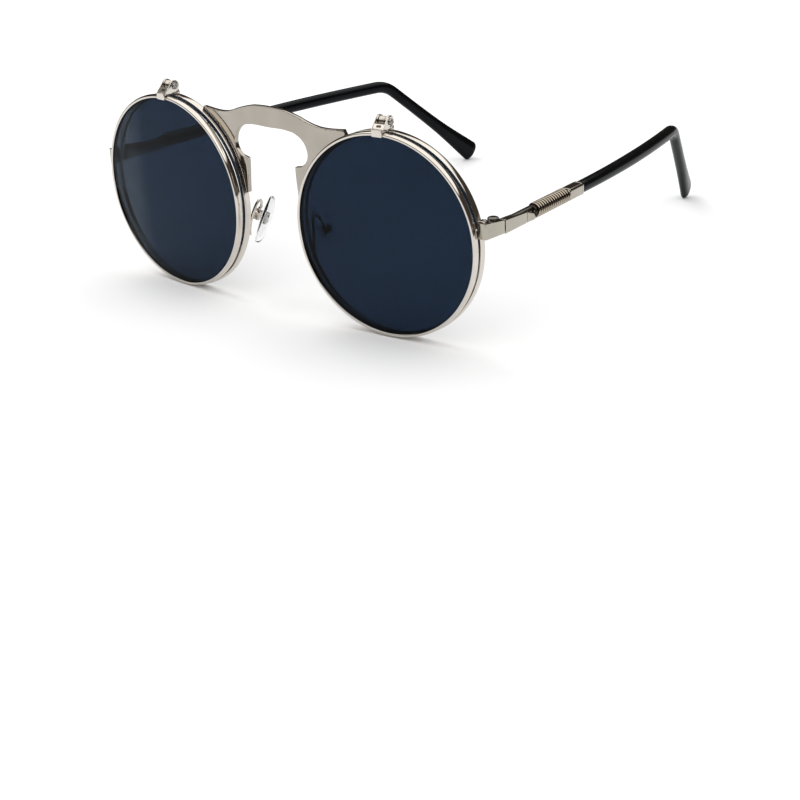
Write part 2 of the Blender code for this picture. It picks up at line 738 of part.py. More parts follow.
def rim_wall_reach(level):
    """How far out the rim's wall lies from the lens centre at a level, in plan."""
    return math.sqrt(RIM_OUTER_RADIUS ** 2 - level ** 2) * math.cos(FACE_WRAP)


def trim_start():
    """Where pieces beside the rim begin, before the rim's cylinder trims them."""
    return rim_wall_reach(END_PIECE_LEVEL + LOCK_HEIGHT)


def rim_cutter(side):
    """The space of the main rim, with the gap of its brazed joints round it."""
    centre = side_place(side, 0.0, 0.0, 0.0)
    normal = Vector((-side * math.sin(FACE_WRAP), math.cos(FACE_WRAP), 0.0))
    reach = END_PIECE_REAR_SETBACK
    radius = RIM_OUTER_RADIUS + BRAZE_GAP
    return rod("rim_space", radius, centre - normal * reach, centre + normal * reach, RIM_STEPS * 2)


def lock_corners(side):
    outer = END_PIECE_CORNER_REACH - END_PIECE_THICKNESS - BRAZE_GAP
    front = END_PIECE_FRONT_SETBACK + END_PIECE_THICKNESS + BRAZE_GAP
    low = side_place(side, trim_start(), front, END_PIECE_LEVEL - LOCK_HEIGHT / 2)
    high = side_place(side, outer, front + LOCK_DEPTH, END_PIECE_LEVEL + LOCK_HEIGHT / 2)
    return low, high


def ordered_box(name, first, second):
    low = [min(pair) for pair in zip(first, second)]
    high = [max(pair) for pair in zip(first, second)]
    return box(name, low, high)


def lock_screw_place(side):
    low, high = lock_corners(side)
    middle = (low + high) / 2
    inner = side_place(side, rim_wall_reach(END_PIECE_LEVEL) + BRAZE_GAP, 0.0, 0.0)
    middle.x = (inner.x + high.x) / 2
    return middle


def make_lock_half(name, side, upper):
    """Each half of the lock is brazed to one side of the rim's split; the screw draws them together."""
    low, high = lock_corners(side)
    middle = lock_screw_place(side)
    split = RIM_SPLIT / 2
    if upper:
        low.z = middle.z + split
    else:
        high.z = middle.z - split
    block = ordered_box(name, low, high)
    bore = rod("lock_bore", LOCK_SCREW_RADIUS + RUNNING_GAP / 2,
               (middle.x, middle.y, low.z - CUT_OVERRUN), (middle.x, middle.y, high.z + CUT_OVERRUN), 16)
    return cut(block, bore, rim_cutter(side))


def make_lock_screw(name, side):
    low, high = lock_corners(side)
    middle = lock_screw_place(side)
    seat = high.z + BRAZE_GAP
    head = rod(name, LOCK_SCREW_HEAD_RADIUS, (middle.x, middle.y, seat),
               (middle.x, middle.y, seat + LOCK_SCREW_HEAD_HEIGHT), 16)
    shank = rod("lock_shank", LOCK_SCREW_RADIUS, (middle.x, middle.y, low.z),
                (middle.x, middle.y, seat + BRAZE_GAP), 16)
    return join(head, shank)


def end_piece_outline(side):
    """The bent bar in plan, as (across, setback) points: outer face first, then the inner one."""
    start = trim_start()
    rounding = END_PIECE_THICKNESS * END_PIECE_CORNER_SHARE
    front, rear = END_PIECE_FRONT_SETBACK, END_PIECE_REAR_SETBACK
    corner = END_PIECE_CORNER_REACH
    points = [(start, front)]
    for step in range(5):
        angle = math.pi / 2 * step / 4
        across = corner - rounding + rounding * math.sin(angle)
        points.append((across, front + rounding - rounding * math.cos(angle)))
    inner_front = front + END_PIECE_THICKNESS
    points += [(END_PIECE_REAR_REACH, rear), (END_PIECE_REAR_REACH - END_PIECE_THICKNESS, rear)]
    points += [(corner - END_PIECE_THICKNESS, inner_front), (start, inner_front)]
    return [(side * (LENS_HALF_SPACING + reach), setback) for reach, setback in points]


def pivot_point(side, level=0.0):
    return side_place(side, TEMPLE_PIVOT_REACH, TEMPLE_PIVOT_SETBACK, END_PIECE_LEVEL + level)


def outer_knuckle_levels():
    """Heights of the lower and the upper knuckle above the hinge's middle, as (low, high) pairs."""
    inner = MIDDLE_KNUCKLE_HEIGHT / 2 + RUNNING_GAP
    outer = inner + OUTER_KNUCKLE_HEIGHT
    return (-outer, -inner), (inner, outer)


def make_end_piece(name, side):
    piece = flat_plate(name, end_piece_outline(side), END_PIECE_FRONT_HEIGHT)
    for vert in piece.data.vertices:
        share = (vert.co.y - END_PIECE_FRONT_SETBACK) / END_PIECE_LENGTH
        height = END_PIECE_FRONT_HEIGHT + (END_PIECE_REAR_HEIGHT - END_PIECE_FRONT_HEIGHT) * share
        middle = HINGE_LEVEL + END_PIECE_FRONT_LIFT * (1 - share)
        vert.co.z = middle + math.copysign(height / 2, vert.co.z)
    round_edges(piece, END_PIECE_EDGE)
    lower, upper = outer_knuckle_levels()
    knuckles = []
    for number, (low, high) in enumerate((lower, upper)):
        knuckles.append(rod(f"outer_knuckle_{number}", TEMPLE_KNUCKLE_RADIUS,
                            pivot_point(side, low), pivot_point(side, high)))
    join(piece, *knuckles)
    pocket = rod("knuckle_pocket", TEMPLE_KNUCKLE_RADIUS + RUNNING_GAP,
                 pivot_point(side, lower[1]), pivot_point(side, upper[0]))
    bore = rod("hinge_bore", HINGE_SCREW_RADIUS + RUNNING_GAP,
               pivot_point(side, lower[0] - CUT_OVERRUN), pivot_point(side, upper[1] + CUT_OVERRUN))
    return cut(piece, pocket, bore, rim_cutter(side))


def make_hinge_screw(name, side):
    lower, upper = outer_knuckle_levels()
    seat = upper[1] + RUNNING_GAP
    top = seat + HINGE_SCREW_HEAD_HEIGHT
    screw = rod(name, HINGE_SCREW_HEAD_RADIUS, pivot_point(side, seat), pivot_point(side, top))
    shank = rod("hinge_shank", HINGE_SCREW_RADIUS,
                pivot_point(side, lower[0]), pivot_point(side, seat + SCREW_SLOT_DEPTH))
    join(screw, shank)
    centre = pivot_point(side, top)
    half = Vector((HINGE_SCREW_HEAD_RADIUS + CUT_OVERRUN, SCREW_SLOT_WIDTH / 2, SCREW_SLOT_DEPTH))
    return cut(screw, box("screw_slot", centre - half, centre + half))


# Temples, in the frame of the pivot: X outward, Y along the bar

def bar_centre_x():
    return BAR_OUTER_OFFSET - BAR_THICKNESS / 2


def temple_point(side, across, along, up=0.0):
    """A point of the temple in the pivot's frame, with the bar's fall towards the back."""
    return Vector((side * across, along, up - along * math.tan(TEMPLE_DROP)))


def make_temple_bar(name, side):
    across, up = Vector((side, 0.0, 0.0)), Vector((0.0, 0.0, 1.0))
    centre = bar_centre_x()
    flat_end = BAR_FRONT + BAR_FLAT_LENGTH
    neck_end = flat_end + BAR_NECK_LENGTH
    shoulder_end = neck_end + BAR_SHOULDER_LENGTH
    wide, high = BAR_THICKNESS / 2, BAR_HEIGHT / 2
    step = BAR_NECK_STEP
    stations = [
        (BAR_FRONT, wide, high, 0.85),
        (flat_end, wide, high, 0.85),
        (flat_end + step, wide - step, high - step, 0.85),
        (neck_end, wide - step, high - step, 0.85),
        (shoulder_end, CORE_RADIUS, CORE_RADIUS, 0.0),
        (FERRULE_START + FERRULE_LENGTH / 2, CORE_RADIUS, CORE_RADIUS, 0.0),
        (FERRULE_START + FERRULE_LENGTH * 0.75, CORE_TIP_RADIUS, CORE_TIP_RADIUS, 0.0),
        (TIP_START + CORE_TIP_DEPTH, CORE_TIP_RADIUS, CORE_TIP_RADIUS, 0.0),
    ]
    rings = [section(temple_point(side, centre, along), across, up, half_wide, half_high, square)
             for along, half_wide, half_high, square in stations]
    bar = settle(loft(name, rings))
    half = MIDDLE_KNUCKLE_HEIGHT / 2
    knuckle = rod("middle_knuckle", TEMPLE_KNUCKLE_RADIUS, (0.0, 0.0, -half), (0.0, 0.0, half))
    inner = centre - wide - END_PIECE_EDGE
    low_leaf = EAR_MARGIN - half
    leaf = ordered_box("hinge_leaf", (side * (inner - HINGE_LEAF_THICKNESS), EAR_MARGIN, low_leaf),
                       (side * inner, HINGE_LEAF_LENGTH, -low_leaf))
    root_front = BAR_FRONT + EAR_MARGIN
    root_back = HINGE_LEAF_LENGTH - EAR_MARGIN
    root_inner = inner - HINGE_LEAF_THICKNESS / 2
    root = ordered_box("leaf_root", (side * root_inner, root_front, low_leaf / 2),
                       (side * centre, root_back, -low_leaf / 2))
    join(bar, knuckle, leaf, root)
    bore = rod("hinge_bore", HINGE_SCREW_RADIUS + RUNNING_GAP,
               (0.0, 0.0, -CUT_OVERRUN), (0.0, 0.0, CUT_OVERRUN))
    return cut(bar, bore)


def make_coil(name, side):
    """The turns round the bar's core; both ends turn to run square into their neighbours."""
    points_per_turn = 9
    turns = helix(COIL_TURNS, COIL_PITCH, COIL_RADIUS, 0.0, points_per_turn)
    middle = COIL_START + COIL_LENGTH / 2
    centre = bar_centre_x()
    route = []
    for point in turns:
        along = middle + point.x
        route.append(temple_point(side, centre + point.y, along, point.z))
    ends = []
    for sign, end in ((-1, route[0]), (1, route[-1])):
        stop = middle + sign * COIL_LENGTH / 2
        lead = sign * COIL_WIRE * COIL_END_SHARE
        turned_point = end + Vector((0.0, lead, lead))
        straight = Vector((turned_point.x, stop, turned_point.z))
        ends.append([turned_point, straight])
    route = ends[0][::-1] + route + ends[1]
    gap = least_self_gap(route, COIL_WIRE, points_per_turn // 2 + 1)
    print(f"{name}: least gap to itself {gap * 1000:.3f} mm")
    return settle(tube(name, route, COIL_WIRE / 2))


def make_ferrule(name, side):
    radius, edge = FERRULE_RADIUS, FERRULE_EDGE
    bore = CORE_RADIUS + RUNNING_GAP
    length = FERRULE_LENGTH
    outside = [(radius - edge, length), (radius, length - edge), (radius, edge), (radius - edge, 0.0)]
    profile = outside + [(bore, 0.0), (bore, length)]
    ferrule = settle(turned(name, profile, 24, closed=True))
    along = Vector((0.0, 1.0, -math.tan(TEMPLE_DROP))).normalized()
    turn = along.to_track_quat("Z", "Y").to_matrix().to_4x4()
    ferrule.data.transform(Matrix.Translation(temple_point(side, bar_centre_x(), FERRULE_START)) @ turn)
    return ferrule


def tip_route():
    """The tip's centre line as (across, along, up) up to the bend, without the bar's fall."""
    centre = bar_centre_x()
    route = []
    span = TIP_BEND_DISTANCE - TIP_START
    for step in range(9):
        along = TIP_START + (TIP_BEND_DISTANCE - TIP_BEND_RADIUS / 2 - TIP_START) * step / 8
        share = (along - TIP_START) / span
        route.append((centre - TIP_CURVE_SHIFT * share ** 2, along))
    return route


def ear_frame(side):
    """Start point and unit direction of the ear, aimed so that the paddle touches the table."""
    centre = bar_centre_x()
    bend = temple_point(side, centre - TIP_CURVE_SHIFT, TIP_BEND_DISTANCE)
    drop = HINGE_LEVEL + bend.z - PADDLE_CORNER_DEPTH
    fall = math.asin(drop / (EAR_LENGTH - PADDLE_CAP_LENGTH))
    slope = math.atan2(2 * TIP_CURVE_SHIFT, TIP_BEND_DISTANCE - TIP_START)
    lean = slope + EAR_LEAN
    level = math.cos(fall)
    return bend, Vector((-side * math.sin(lean) * level, math.cos(lean) * level, -math.sin(fall)))


def make_temple_tip(name, side):
    route = [temple_point(side, across, along) for across, along in tip_route()]
    bend, direction = ear_frame(side)
    before = (route[-1] - route[-2]).normalized()
    corner_in = bend - before * TIP_BEND_RADIUS / 2
    corner_out = bend + direction * TIP_BEND_RADIUS / 2
    arc = []
    for step in range(1, 6):
        share = step / 6
        arc.append(corner_in * (1 - share) ** 2 + bend * 2 * share * (1 - share) + corner_out * share ** 2)
    rings = []
    places = route + arc + [corner_out]
    straight = len(route)
    for index, place_now in enumerate(places):
        ahead = places[min(index + 1, len(places) - 1)]
        behind = places[max(index - 1, 0)]
        share = min(index / (straight - 1), 1.0)
        turn_share = max(index - straight + 1, 0) / (len(places) - straight)
        grow = min(2 * share, 1.0)
        high = TIP_START_RADIUS + (TIP_STRAIGHT_HALF_HEIGHT - TIP_START_RADIUS) * grow
        wide = TIP_START_RADIUS + (TIP_STRAIGHT_HALF_THICKNESS - TIP_START_RADIUS) * grow
        high += (EAR_HALF_HEIGHT - high) * turn_share
        wide += (EAR_HALF_THICKNESS - wide) * turn_share
        tangent = direction if index == len(places) - 1 else (ahead - behind).normalized()
        rings.append(tip_ring(place_now, tangent, wide, high))
    end = bend + direction * EAR_LENGTH
    for along, flare in EAR_STATION_SHARES:
        high = EAR_HALF_HEIGHT + (PADDLE_HALF_HEIGHT - EAR_HALF_HEIGHT) * flare
        wide = EAR_HALF_THICKNESS + (PADDLE_HALF_THICKNESS - EAR_HALF_THICKNESS) * flare
        start = TIP_BEND_RADIUS / 2 / EAR_LENGTH
        place_now = bend.lerp(end, start + (1 - start) * along)
        roll = side * EAR_ROLL * min(2 * along, 1.0)
        rings.append(tip_ring(place_now, direction, wide, high, roll))
    for step in range(5):
        angle = math.pi / 2 * step / 4.4
        beyond = PADDLE_CAP_LENGTH * math.sin(angle)
        shrink = math.cos(angle)
        place_now = end + direction * (beyond - PADDLE_CAP_LENGTH)
        thin = PADDLE_HALF_THICKNESS * shrink ** 0.6
        high = PADDLE_HALF_HEIGHT * shrink ** 0.7
        rings.append(tip_ring(place_now, direction, thin, high, side * EAR_ROLL))
    tip = settle(loft(name, rings))
    along = Vector((0.0, 1.0, -math.tan(TEMPLE_DROP)))
    start = temple_point(side, bar_centre_x(), TIP_START)
    socket = rod("core_socket", CORE_TIP_RADIUS + RUNNING_GAP, start - along * CUT_OVERRUN,
                 start + along * (CORE_TIP_DEPTH + RUNNING_GAP))
    return cut(tip, socket)


def tip_ring(place_now, tangent, wide, high, roll=0.0):
    level = tangent.cross(Vector((0.0, 0.0, 1.0))).normalized()
    upright = level.cross(tangent).normalized()
    across = level * math.cos(roll) + upright * math.sin(roll)
    up = upright * math.cos(roll) - level * math.sin(roll)
    return section(place_now, across, up, wide, high, 0.12, 14)


# Nose pads, in the pad's frame: X towards its box, Z up the pad, Y back

def make_pad(name, side):
    shape = bmesh.new()
    bmesh.ops.create_uvsphere(shape, u_segments=20, v_segments=14, radius=1.0)
    for vert in shape.verts:
        across, back, up = vert.co.x, vert.co.y, vert.co.z
        length = PAD_LENGTH_ABOVE if up > 0 else PAD_LENGTH_BELOW
        width = PAD_HALF_WIDTH * (1 - (1 - PAD_TOP_WIDTH_SHARE) * (up + 1) / 2)
        dish = PAD_DISH * (back ** 2 + up ** 2)
        flat = math.copysign(abs(across) ** 0.7, across)
        vert.co = (side * (flat * PAD_HALF_THICKNESS + dish), back * width, up * length)
    pad = from_bmesh(name, shape)
    end = PAD_SCREW_OFFSET + PAD_POST_HEIGHT / 2 - RUNNING_GAP
    depth, height = PAD_POST_DEPTH / 2, PAD_POST_HEIGHT / 2
    post = ordered_box("pad_post", (side * (end - PAD_POST_LENGTH), -depth, -height),
                       (side * end, depth, height))
    join(pad, post)
    return cut(pad, pad_bore(side))


def pad_bore(side):
    reach = PAD_POST_DEPTH + PAD_BOX_WALL + CUT_OVERRUN
    centre = side * PAD_SCREW_OFFSET
    radius = PAD_SCREW_RADIUS + RUNNING_GAP / 2
    return rod("pad_bore", radius, (centre, -reach, 0.0), (centre, reach, 0.0), 16)


def make_pad_box(name, side):
    inner = PAD_POST_DEPTH / 2 + RUNNING_GAP
    outer = inner + PAD_BOX_WALL
    mouth = PAD_SCREW_OFFSET - PAD_BOX_REACH
    back = PAD_SCREW_OFFSET + PAD_BOX_BACK
    height = PAD_BOX_HEIGHT / 2
    tall = height + CUT_OVERRUN
    shell = ordered_box(name, (side * mouth, -outer, -height),
                        (side * (back + PAD_BOX_WALL), outer, height))
    slot = ordered_box("box_slot", (side * (mouth - CUT_OVERRUN), -inner, -tall),
                       (side * back, inner, tall))
    return cut(shell, slot, pad_bore(side))


def make_pad_screw(name, side):
    centre = side * PAD_SCREW_OFFSET
    outer = PAD_POST_DEPTH / 2 + RUNNING_GAP + PAD_BOX_WALL
    seat = outer + BRAZE_GAP
    top = seat + PAD_SCREW_HEAD_HEIGHT
    head = rod(name, PAD_SCREW_HEAD_RADIUS, (centre, seat, 0.0), (centre, top, 0.0), 16)
    shank = rod("pad_shank", PAD_SCREW_RADIUS, (centre, -outer, 0.0), (centre, seat + BRAZE_GAP, 0.0), 16)
    return join(head, shank)


def arm_ends(side, pad_matrix):
    """The arm's foot behind the rim's nose side, and its end on top of the pad's box."""
    across = math.sqrt(RIM_MID_RADIUS ** 2 - PAD_ARM_FOOT_LEVEL ** 2)
    back = MAIN_RIM_DEPTH / 2 + BRAZE_GAP + PAD_ARM_RADIUS
    reach = -across * math.cos(FACE_WRAP) - back * math.sin(FACE_WRAP)
    setback = -across * math.sin(FACE_WRAP) + back * math.cos(FACE_WRAP)
    foot = side_place(side, reach, setback, PAD_ARM_FOOT_LEVEL)
    top = pad_matrix @ Vector((side * PAD_SCREW_OFFSET, 0.0, PAD_BOX_HEIGHT / 2 + BRAZE_GAP))
    return foot, top


def make_pad_arm(name, side, pad_matrix):
    foot, top = arm_ends(side, pad_matrix)
    span = top - foot
    up = (pad_matrix.to_3x3() @ Vector((0.0, 0.0, 1.0))).normalized()
    route = [foot + Vector((side * x * span.z, y * span.y, z * span.z)) for x, y, z in ARM_ROUTE_SHARES]
    route = smooth_route(route, 2) + [top + up * 2 * PAD_ARM_RADIUS, top]
    return settle(tube(name, route, PAD_ARM_RADIUS, resolution=2))


# Assembly

def build_side(word, side, collection, origin, materials):
    metal, black, tint, clear, silicone = materials
    lens_plane = make_empty(collection, f"{word}_lens_plane",
                            (side * LENS_HALF_SPACING, 0.0, RIM_OUTER_RADIUS),
                            (0.0, 0.0, side * FACE_WRAP), origin)
    reach = RIM_OUTER_RADIUS + CUT_OVERRUN
    inside = RIM_INNER_RADIUS - CUT_OVERRUN
    depth = FLIP_RIM_DEPTH
    split = RIM_SPLIT / 2
    low = (inside, -depth, END_PIECE_LEVEL - split)
    high = (reach, depth, END_PIECE_LEVEL + split)
    if side < 0:
        low, high = (-reach, -depth, low[2]), (-inside, depth, high[2])
    place(make_rim(f"{word}_main_rim", MAIN_RIM_DEPTH, low, high), metal, lens_plane)
    place(make_lens(f"{word}_clear_lens"), clear, lens_plane)
    place(make_flip_base(f"{word}_flip_base"), metal, lens_plane)
    flip_axis = make_empty(collection, f"{word}_flip_axis",
                           (0.0, -FLIP_PIN_FORWARD, FLIP_PIN_HEIGHT), parent=lens_plane)
    place(make_flip_pin(f"{word}_flip_pin"), metal, flip_axis)
    place(make_flip_spring(f"{word}_flip_spring"), metal, flip_axis)
    flip_tilt = make_empty(collection, f"{word}_flip_tilt", (0.0, 0.0, 0.0),
                           (FLIP_TILT, 0.0, 0.0), flip_axis)
    place(make_flip_bracket(f"{word}_flip_bracket"), metal, flip_tilt)
    flip_centre = make_empty(collection, f"{word}_flip_centre",
                             (0.0, -FLIP_RIM_FORWARD, -FLIP_RIM_DROP), parent=flip_tilt)
    notch_low, notch_high = (-split, -depth, inside), (split, depth, reach)
    place(make_rim(f"{word}_flip_rim", FLIP_RIM_DEPTH, notch_low, notch_high), metal, flip_centre)
    place(make_lens(f"{word}_tinted_lens"), tint, flip_centre)

    place(make_lock_half(f"{word}_lock_upper", side, True), metal, origin)
    place(make_lock_half(f"{word}_lock_lower", side, False), metal, origin)
    place(make_lock_screw(f"{word}_lock_screw", side), metal, origin)
    place(make_end_piece(f"{word}_end_piece", side), metal, origin)
    place(make_hinge_screw(f"{word}_hinge_screw", side), metal, origin)
    temple_axis = make_empty(collection, f"{word}_temple_axis", pivot_point(side),
                             (0.0, 0.0, side * TEMPLE_SPLAY), origin)
    place(make_temple_bar(f"{word}_temple_bar", side), metal, temple_axis)
    place(make_coil(f"{word}_temple_coil", side), metal, temple_axis)
    place(make_ferrule(f"{word}_ferrule", side), metal, temple_axis)
    place(make_temple_tip(f"{word}_temple_tip", side), black, temple_axis)

    pad_place = side_place(side, PAD_REACH - LENS_HALF_SPACING, PAD_SETBACK, PAD_LEVEL)
    pad_turn = Matrix.Rotation(-side * PAD_TILT, 4, "Y") @ Matrix.Rotation(-side * PAD_SPLAY, 4, "Z")
    pad_matrix = Matrix.Translation(pad_place) @ pad_turn
    pad_axis = make_empty(collection, f"{word}_pad_axis", pad_place, pad_turn.to_euler(), origin)
    place(make_pad(f"{word}_nose_pad", side), silicone, pad_axis)
    place(make_pad_box(f"{word}_pad_box", side), metal, pad_axis)
    place(make_pad_screw(f"{word}_pad_screw", side), metal, pad_axis)
    place(make_pad_arm(f"{word}_pad_arm", side, pad_matrix), metal, origin)


def centre_on_footprint(origin):
    """Move the whole object so that its footprint's middle is the scene's origin."""
    bpy.context.view_layer.update()
    graph = bpy.context.evaluated_depsgraph_get()
    corners = []
    for item in bpy.data.objects:
        if item.type == "MESH":
            evaluated = item.evaluated_get(graph)
            corners += [item.matrix_world @ vert.co for vert in evaluated.data.vertices]
    lowest = [min(corner[axis] for corner in corners) for axis in range(3)]
    highest = [max(corner[axis] for corner in corners) for axis in range(3)]
    origin.location = (-(lowest[0] + highest[0]) / 2, -(lowest[1] + highest[1]) / 2, -lowest[2])
    bpy.context.view_layer.update()
    print("setback of the lens centres", round(origin.location.y, 6), "lift", round(origin.location.z, 6))


def main():
    clear_scene()
    collection = bpy.data.collections.new("flip_up_glasses")
    bpy.context.scene.collection.children.link(collection)
    metal = make_material("polished_nickel", METAL, 1.0, 0.18)
    black = make_material("black_temple_tip", BLACK, 0.0, 0.2)
    tint = make_material("tinted_lens", TINT, 0.0, 0.05, 0.85)
    clear = make_material("clear_lens", CLEAR, 0.0, 0.05, 0.25)
    silicone = make_material("clear_silicone", SILICONE, 0.0, 0.3, 0.6)
    origin = make_empty(collection, "footprint_centre", (0.0, 0.0, 0.0))
    place(make_bridge(), metal, origin)
    for word, side in (("left", 1), ("right", -1)):
        build_side(word, side, collection, origin, (metal, black, tint, clear, silicone))
    centre_on_footprint(origin)
    for item in list(bpy.context.scene.collection.objects):
        bpy.context.scene.collection.objects.unlink(item)
        collection.objects.link(item)


main()
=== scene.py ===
import math

import bmesh
import bpy
from mathutils import Matrix, Vector


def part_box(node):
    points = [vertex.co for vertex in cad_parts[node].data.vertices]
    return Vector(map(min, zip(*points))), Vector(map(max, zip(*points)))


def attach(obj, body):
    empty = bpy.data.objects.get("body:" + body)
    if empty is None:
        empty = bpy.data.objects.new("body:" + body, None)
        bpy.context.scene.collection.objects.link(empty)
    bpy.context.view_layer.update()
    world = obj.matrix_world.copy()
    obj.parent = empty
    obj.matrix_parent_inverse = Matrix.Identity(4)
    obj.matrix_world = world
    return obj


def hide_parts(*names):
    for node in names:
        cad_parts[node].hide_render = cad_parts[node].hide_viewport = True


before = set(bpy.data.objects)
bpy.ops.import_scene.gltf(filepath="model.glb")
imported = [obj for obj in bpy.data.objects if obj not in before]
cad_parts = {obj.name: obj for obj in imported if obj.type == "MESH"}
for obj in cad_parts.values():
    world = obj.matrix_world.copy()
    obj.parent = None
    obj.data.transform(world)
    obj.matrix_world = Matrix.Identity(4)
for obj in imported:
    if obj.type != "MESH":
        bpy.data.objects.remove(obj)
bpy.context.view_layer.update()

TO_METRES = Matrix.Scale(0.001, 4)
SOLDER, GAP = 0.02, 0.15
RIM_R, RIM_FACE = 25.5, 0.85
RIM_IN = RIM_R - RIM_FACE
MAIN_DEPTH, FLIP_DEPTH = 1.9, 1.8
RIM_SPLIT = 0.4
HALF_SPACING = 35.0
WRAP = math.radians(5.0)
FLIP_TILT = math.radians(1.2)
PIN_FORWARD, PIN_HEIGHT = 0.9, 27.7
RIM_DROP, BOTTOM_GAP = 27.45, 0.25
RIM_FORWARD = FLIP_DEPTH / 2 + (
    MAIN_DEPTH / 2 + BOTTOM_GAP - PIN_FORWARD + (RIM_DROP + RIM_R) * math.sin(FLIP_TILT)) / math.cos(FLIP_TILT)
low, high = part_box("left_main_rim")
SETBACK = (low.y + high.y) * 500.0


# Mesh helpers

def new_object(name, mesh):
    item = bpy.data.objects.new(name, mesh)
    bpy.context.scene.collection.objects.link(item)
    return item


def from_bmesh(name, shape):
    bmesh.ops.recalc_face_normals(shape, faces=shape.faces)
    mesh = bpy.data.meshes.new(name)
    shape.to_mesh(mesh)
    shape.free()
    return new_object(name, mesh)


def bake(item):
    """Replace an object's mesh by its evaluated form."""
    bpy.context.view_layer.update()
    evaluated = item.evaluated_get(bpy.context.evaluated_depsgraph_get())
    mesh = bpy.data.meshes.new_from_object(evaluated)
    item.modifiers.clear()
    item.data = mesh
    return item


def box(low, high):
    low, high = Vector(low), Vector(high)
    low, high = Vector(map(min, low, high)), Vector(map(max, low, high))
    shape = bmesh.new()
    matrix = Matrix.Translation((low + high) / 2) @ Matrix.Diagonal((*(high - low), 1.0))
    bmesh.ops.create_cube(shape, size=1.0, matrix=matrix)
    return from_bmesh("box", shape)


def rod(radius, start, end, segments=48):
    start, end = Vector(start), Vector(end)
    along = end - start
    shape = bmesh.new()
    matrix = Matrix.Translation((start + end) / 2) @ along.to_track_quat("Z", "Y").to_matrix().to_4x4()
    bmesh.ops.create_cone(shape, cap_ends=True, segments=segments, radius1=radius, radius2=radius,
                          depth=along.length, matrix=matrix)
    return from_bmesh("rod", shape)


def lathe(profile, steps, closed):
    """A (radius, height) profile turned round Z."""
    shape = bmesh.new()
    points = [shape.verts.new((radius, 0.0, height)) for radius, height in profile]
    for first, second in zip(points, points[1:]):
        shape.edges.new((first, second))
    if closed:
        shape.edges.new((points[-1], points[0]))
    mesh = bpy.data.meshes.new("lathe")
    shape.to_mesh(mesh)
    shape.free()
    item = new_object("lathe", mesh)
    screw = item.modifiers.new("turn", "SCREW")
    screw.angle = 2 * math.pi
    screw.steps = screw.render_steps = steps
    screw.use_merge_vertices = True
    screw.merge_threshold = 0.0005
    bake(item)
    shape = bmesh.new()
    shape.from_mesh(item.data)
    bmesh.ops.recalc_face_normals(shape, faces=shape.faces)
    shape.to_mesh(item.data)
    shape.free()
    return item


def from_curve(curve):
    guide = new_object(curve.name, curve)
    bpy.context.view_layer.update()
    mesh = bpy.data.meshes.new_from_object(guide.evaluated_get(bpy.context.evaluated_depsgraph_get()))
    bpy.data.objects.remove(guide, do_unlink=True)
    shape = bmesh.new()
    shape.from_mesh(mesh)
    bmesh.ops.remove_doubles(shape, verts=shape.verts, dist=0.0005)
    return from_bmesh("piece", shape)


def tube(points, radius, resolution):
    curve = bpy.data.curves.new("tube", "CURVE")
    curve.dimensions = "3D"
    curve.bevel_depth = radius
    curve.bevel_resolution = resolution
    curve.use_fill_caps = True
    spline = curve.splines.new("POLY")
    spline.points.add(len(points) - 1)
    for slot, point in zip(spline.points, points):
        slot.co = (*point, 1.0)
    return from_curve(curve)


def plate(outline, thickness, edge=0.0):
    """A flat outline in the XY plane, thickened to both sides, with rounded edges inside its outline."""
    curve = bpy.data.curves.new("plate", "CURVE")
    curve.dimensions = "2D"
    curve.fill_mode = "BOTH"
    curve.extrude = thickness / 2 - edge
    curve.bevel_depth = edge
    curve.bevel_resolution = 2
    curve.offset = -edge
    spline = curve.splines.new("POLY")
    spline.points.add(len(outline) - 1)
    for slot, (across, along) in zip(spline.points, outline):
        slot.co = (across, along, 0.0, 1.0)
    spline.use_cyclic_u = True
    return from_curve(curve)


def loft(rings):
    shape = bmesh.new()
    rows = [[shape.verts.new(point) for point in ring] for ring in rings]
    count = len(rows[0])
    for first, second in zip(rows, rows[1:]):
        for index in range(count):
            after = (index + 1) % count
            shape.faces.new((first[index], first[after], second[after], second[index]))
    shape.faces.new(rows[0])
    shape.faces.new(rows[-1])
    return from_bmesh("loft", shape)


def section(centre, across, up, half_wide, half_high, squareness, count=40):
    power = 1.0 - 0.86 * squareness
    points = []
    for index in range(count):
        angle = 2 * math.pi * (index + 0.5) / count
        cosine, sine = math.cos(angle), math.sin(angle)
        points.append(centre + across * math.copysign(abs(cosine) ** power, cosine) * half_wide
                      + up * math.copysign(abs(sine) ** power, sine) * half_high)
    return points


def smooth_route(points, steps):
    points = [Vector(point) for point in points]
    ends = [2 * points[0] - points[1]] + points + [2 * points[-1] - points[-2]]
    route = []
    for before, start, end, after in zip(ends, ends[1:], ends[2:], ends[3:]):
        for step in range(steps):
            t = step / steps
            route.append(0.5 * (2 * start + (end - before) * t + (2 * before - 5 * start + 4 * end - after) * t ** 2
                                + (3 * start - before - 3 * end + after) * t ** 3))
    return route + [points[-1]]


def combine(item, others, operation):
    for other in others:
        change = item.modifiers.new("change", "BOOLEAN")
        change.operation = operation
        change.solver = "EXACT"
        change.object = other
    bake(item)
    for other in others:
        bpy.data.objects.remove(other, do_unlink=True)
    return item


def cut(item, *others):
    return combine(item, others, "DIFFERENCE")


def join(item, *others):
    return combine(item, others, "UNION")


def bevel(item, width, segments=3, angle=35.0):
    change = item.modifiers.new("edges", "BEVEL")
    change.width = width
    change.segments = segments
    change.limit_method = "ANGLE"
    change.angle_limit = math.radians(angle)
    change.harden_normals = True
    return bake(item)


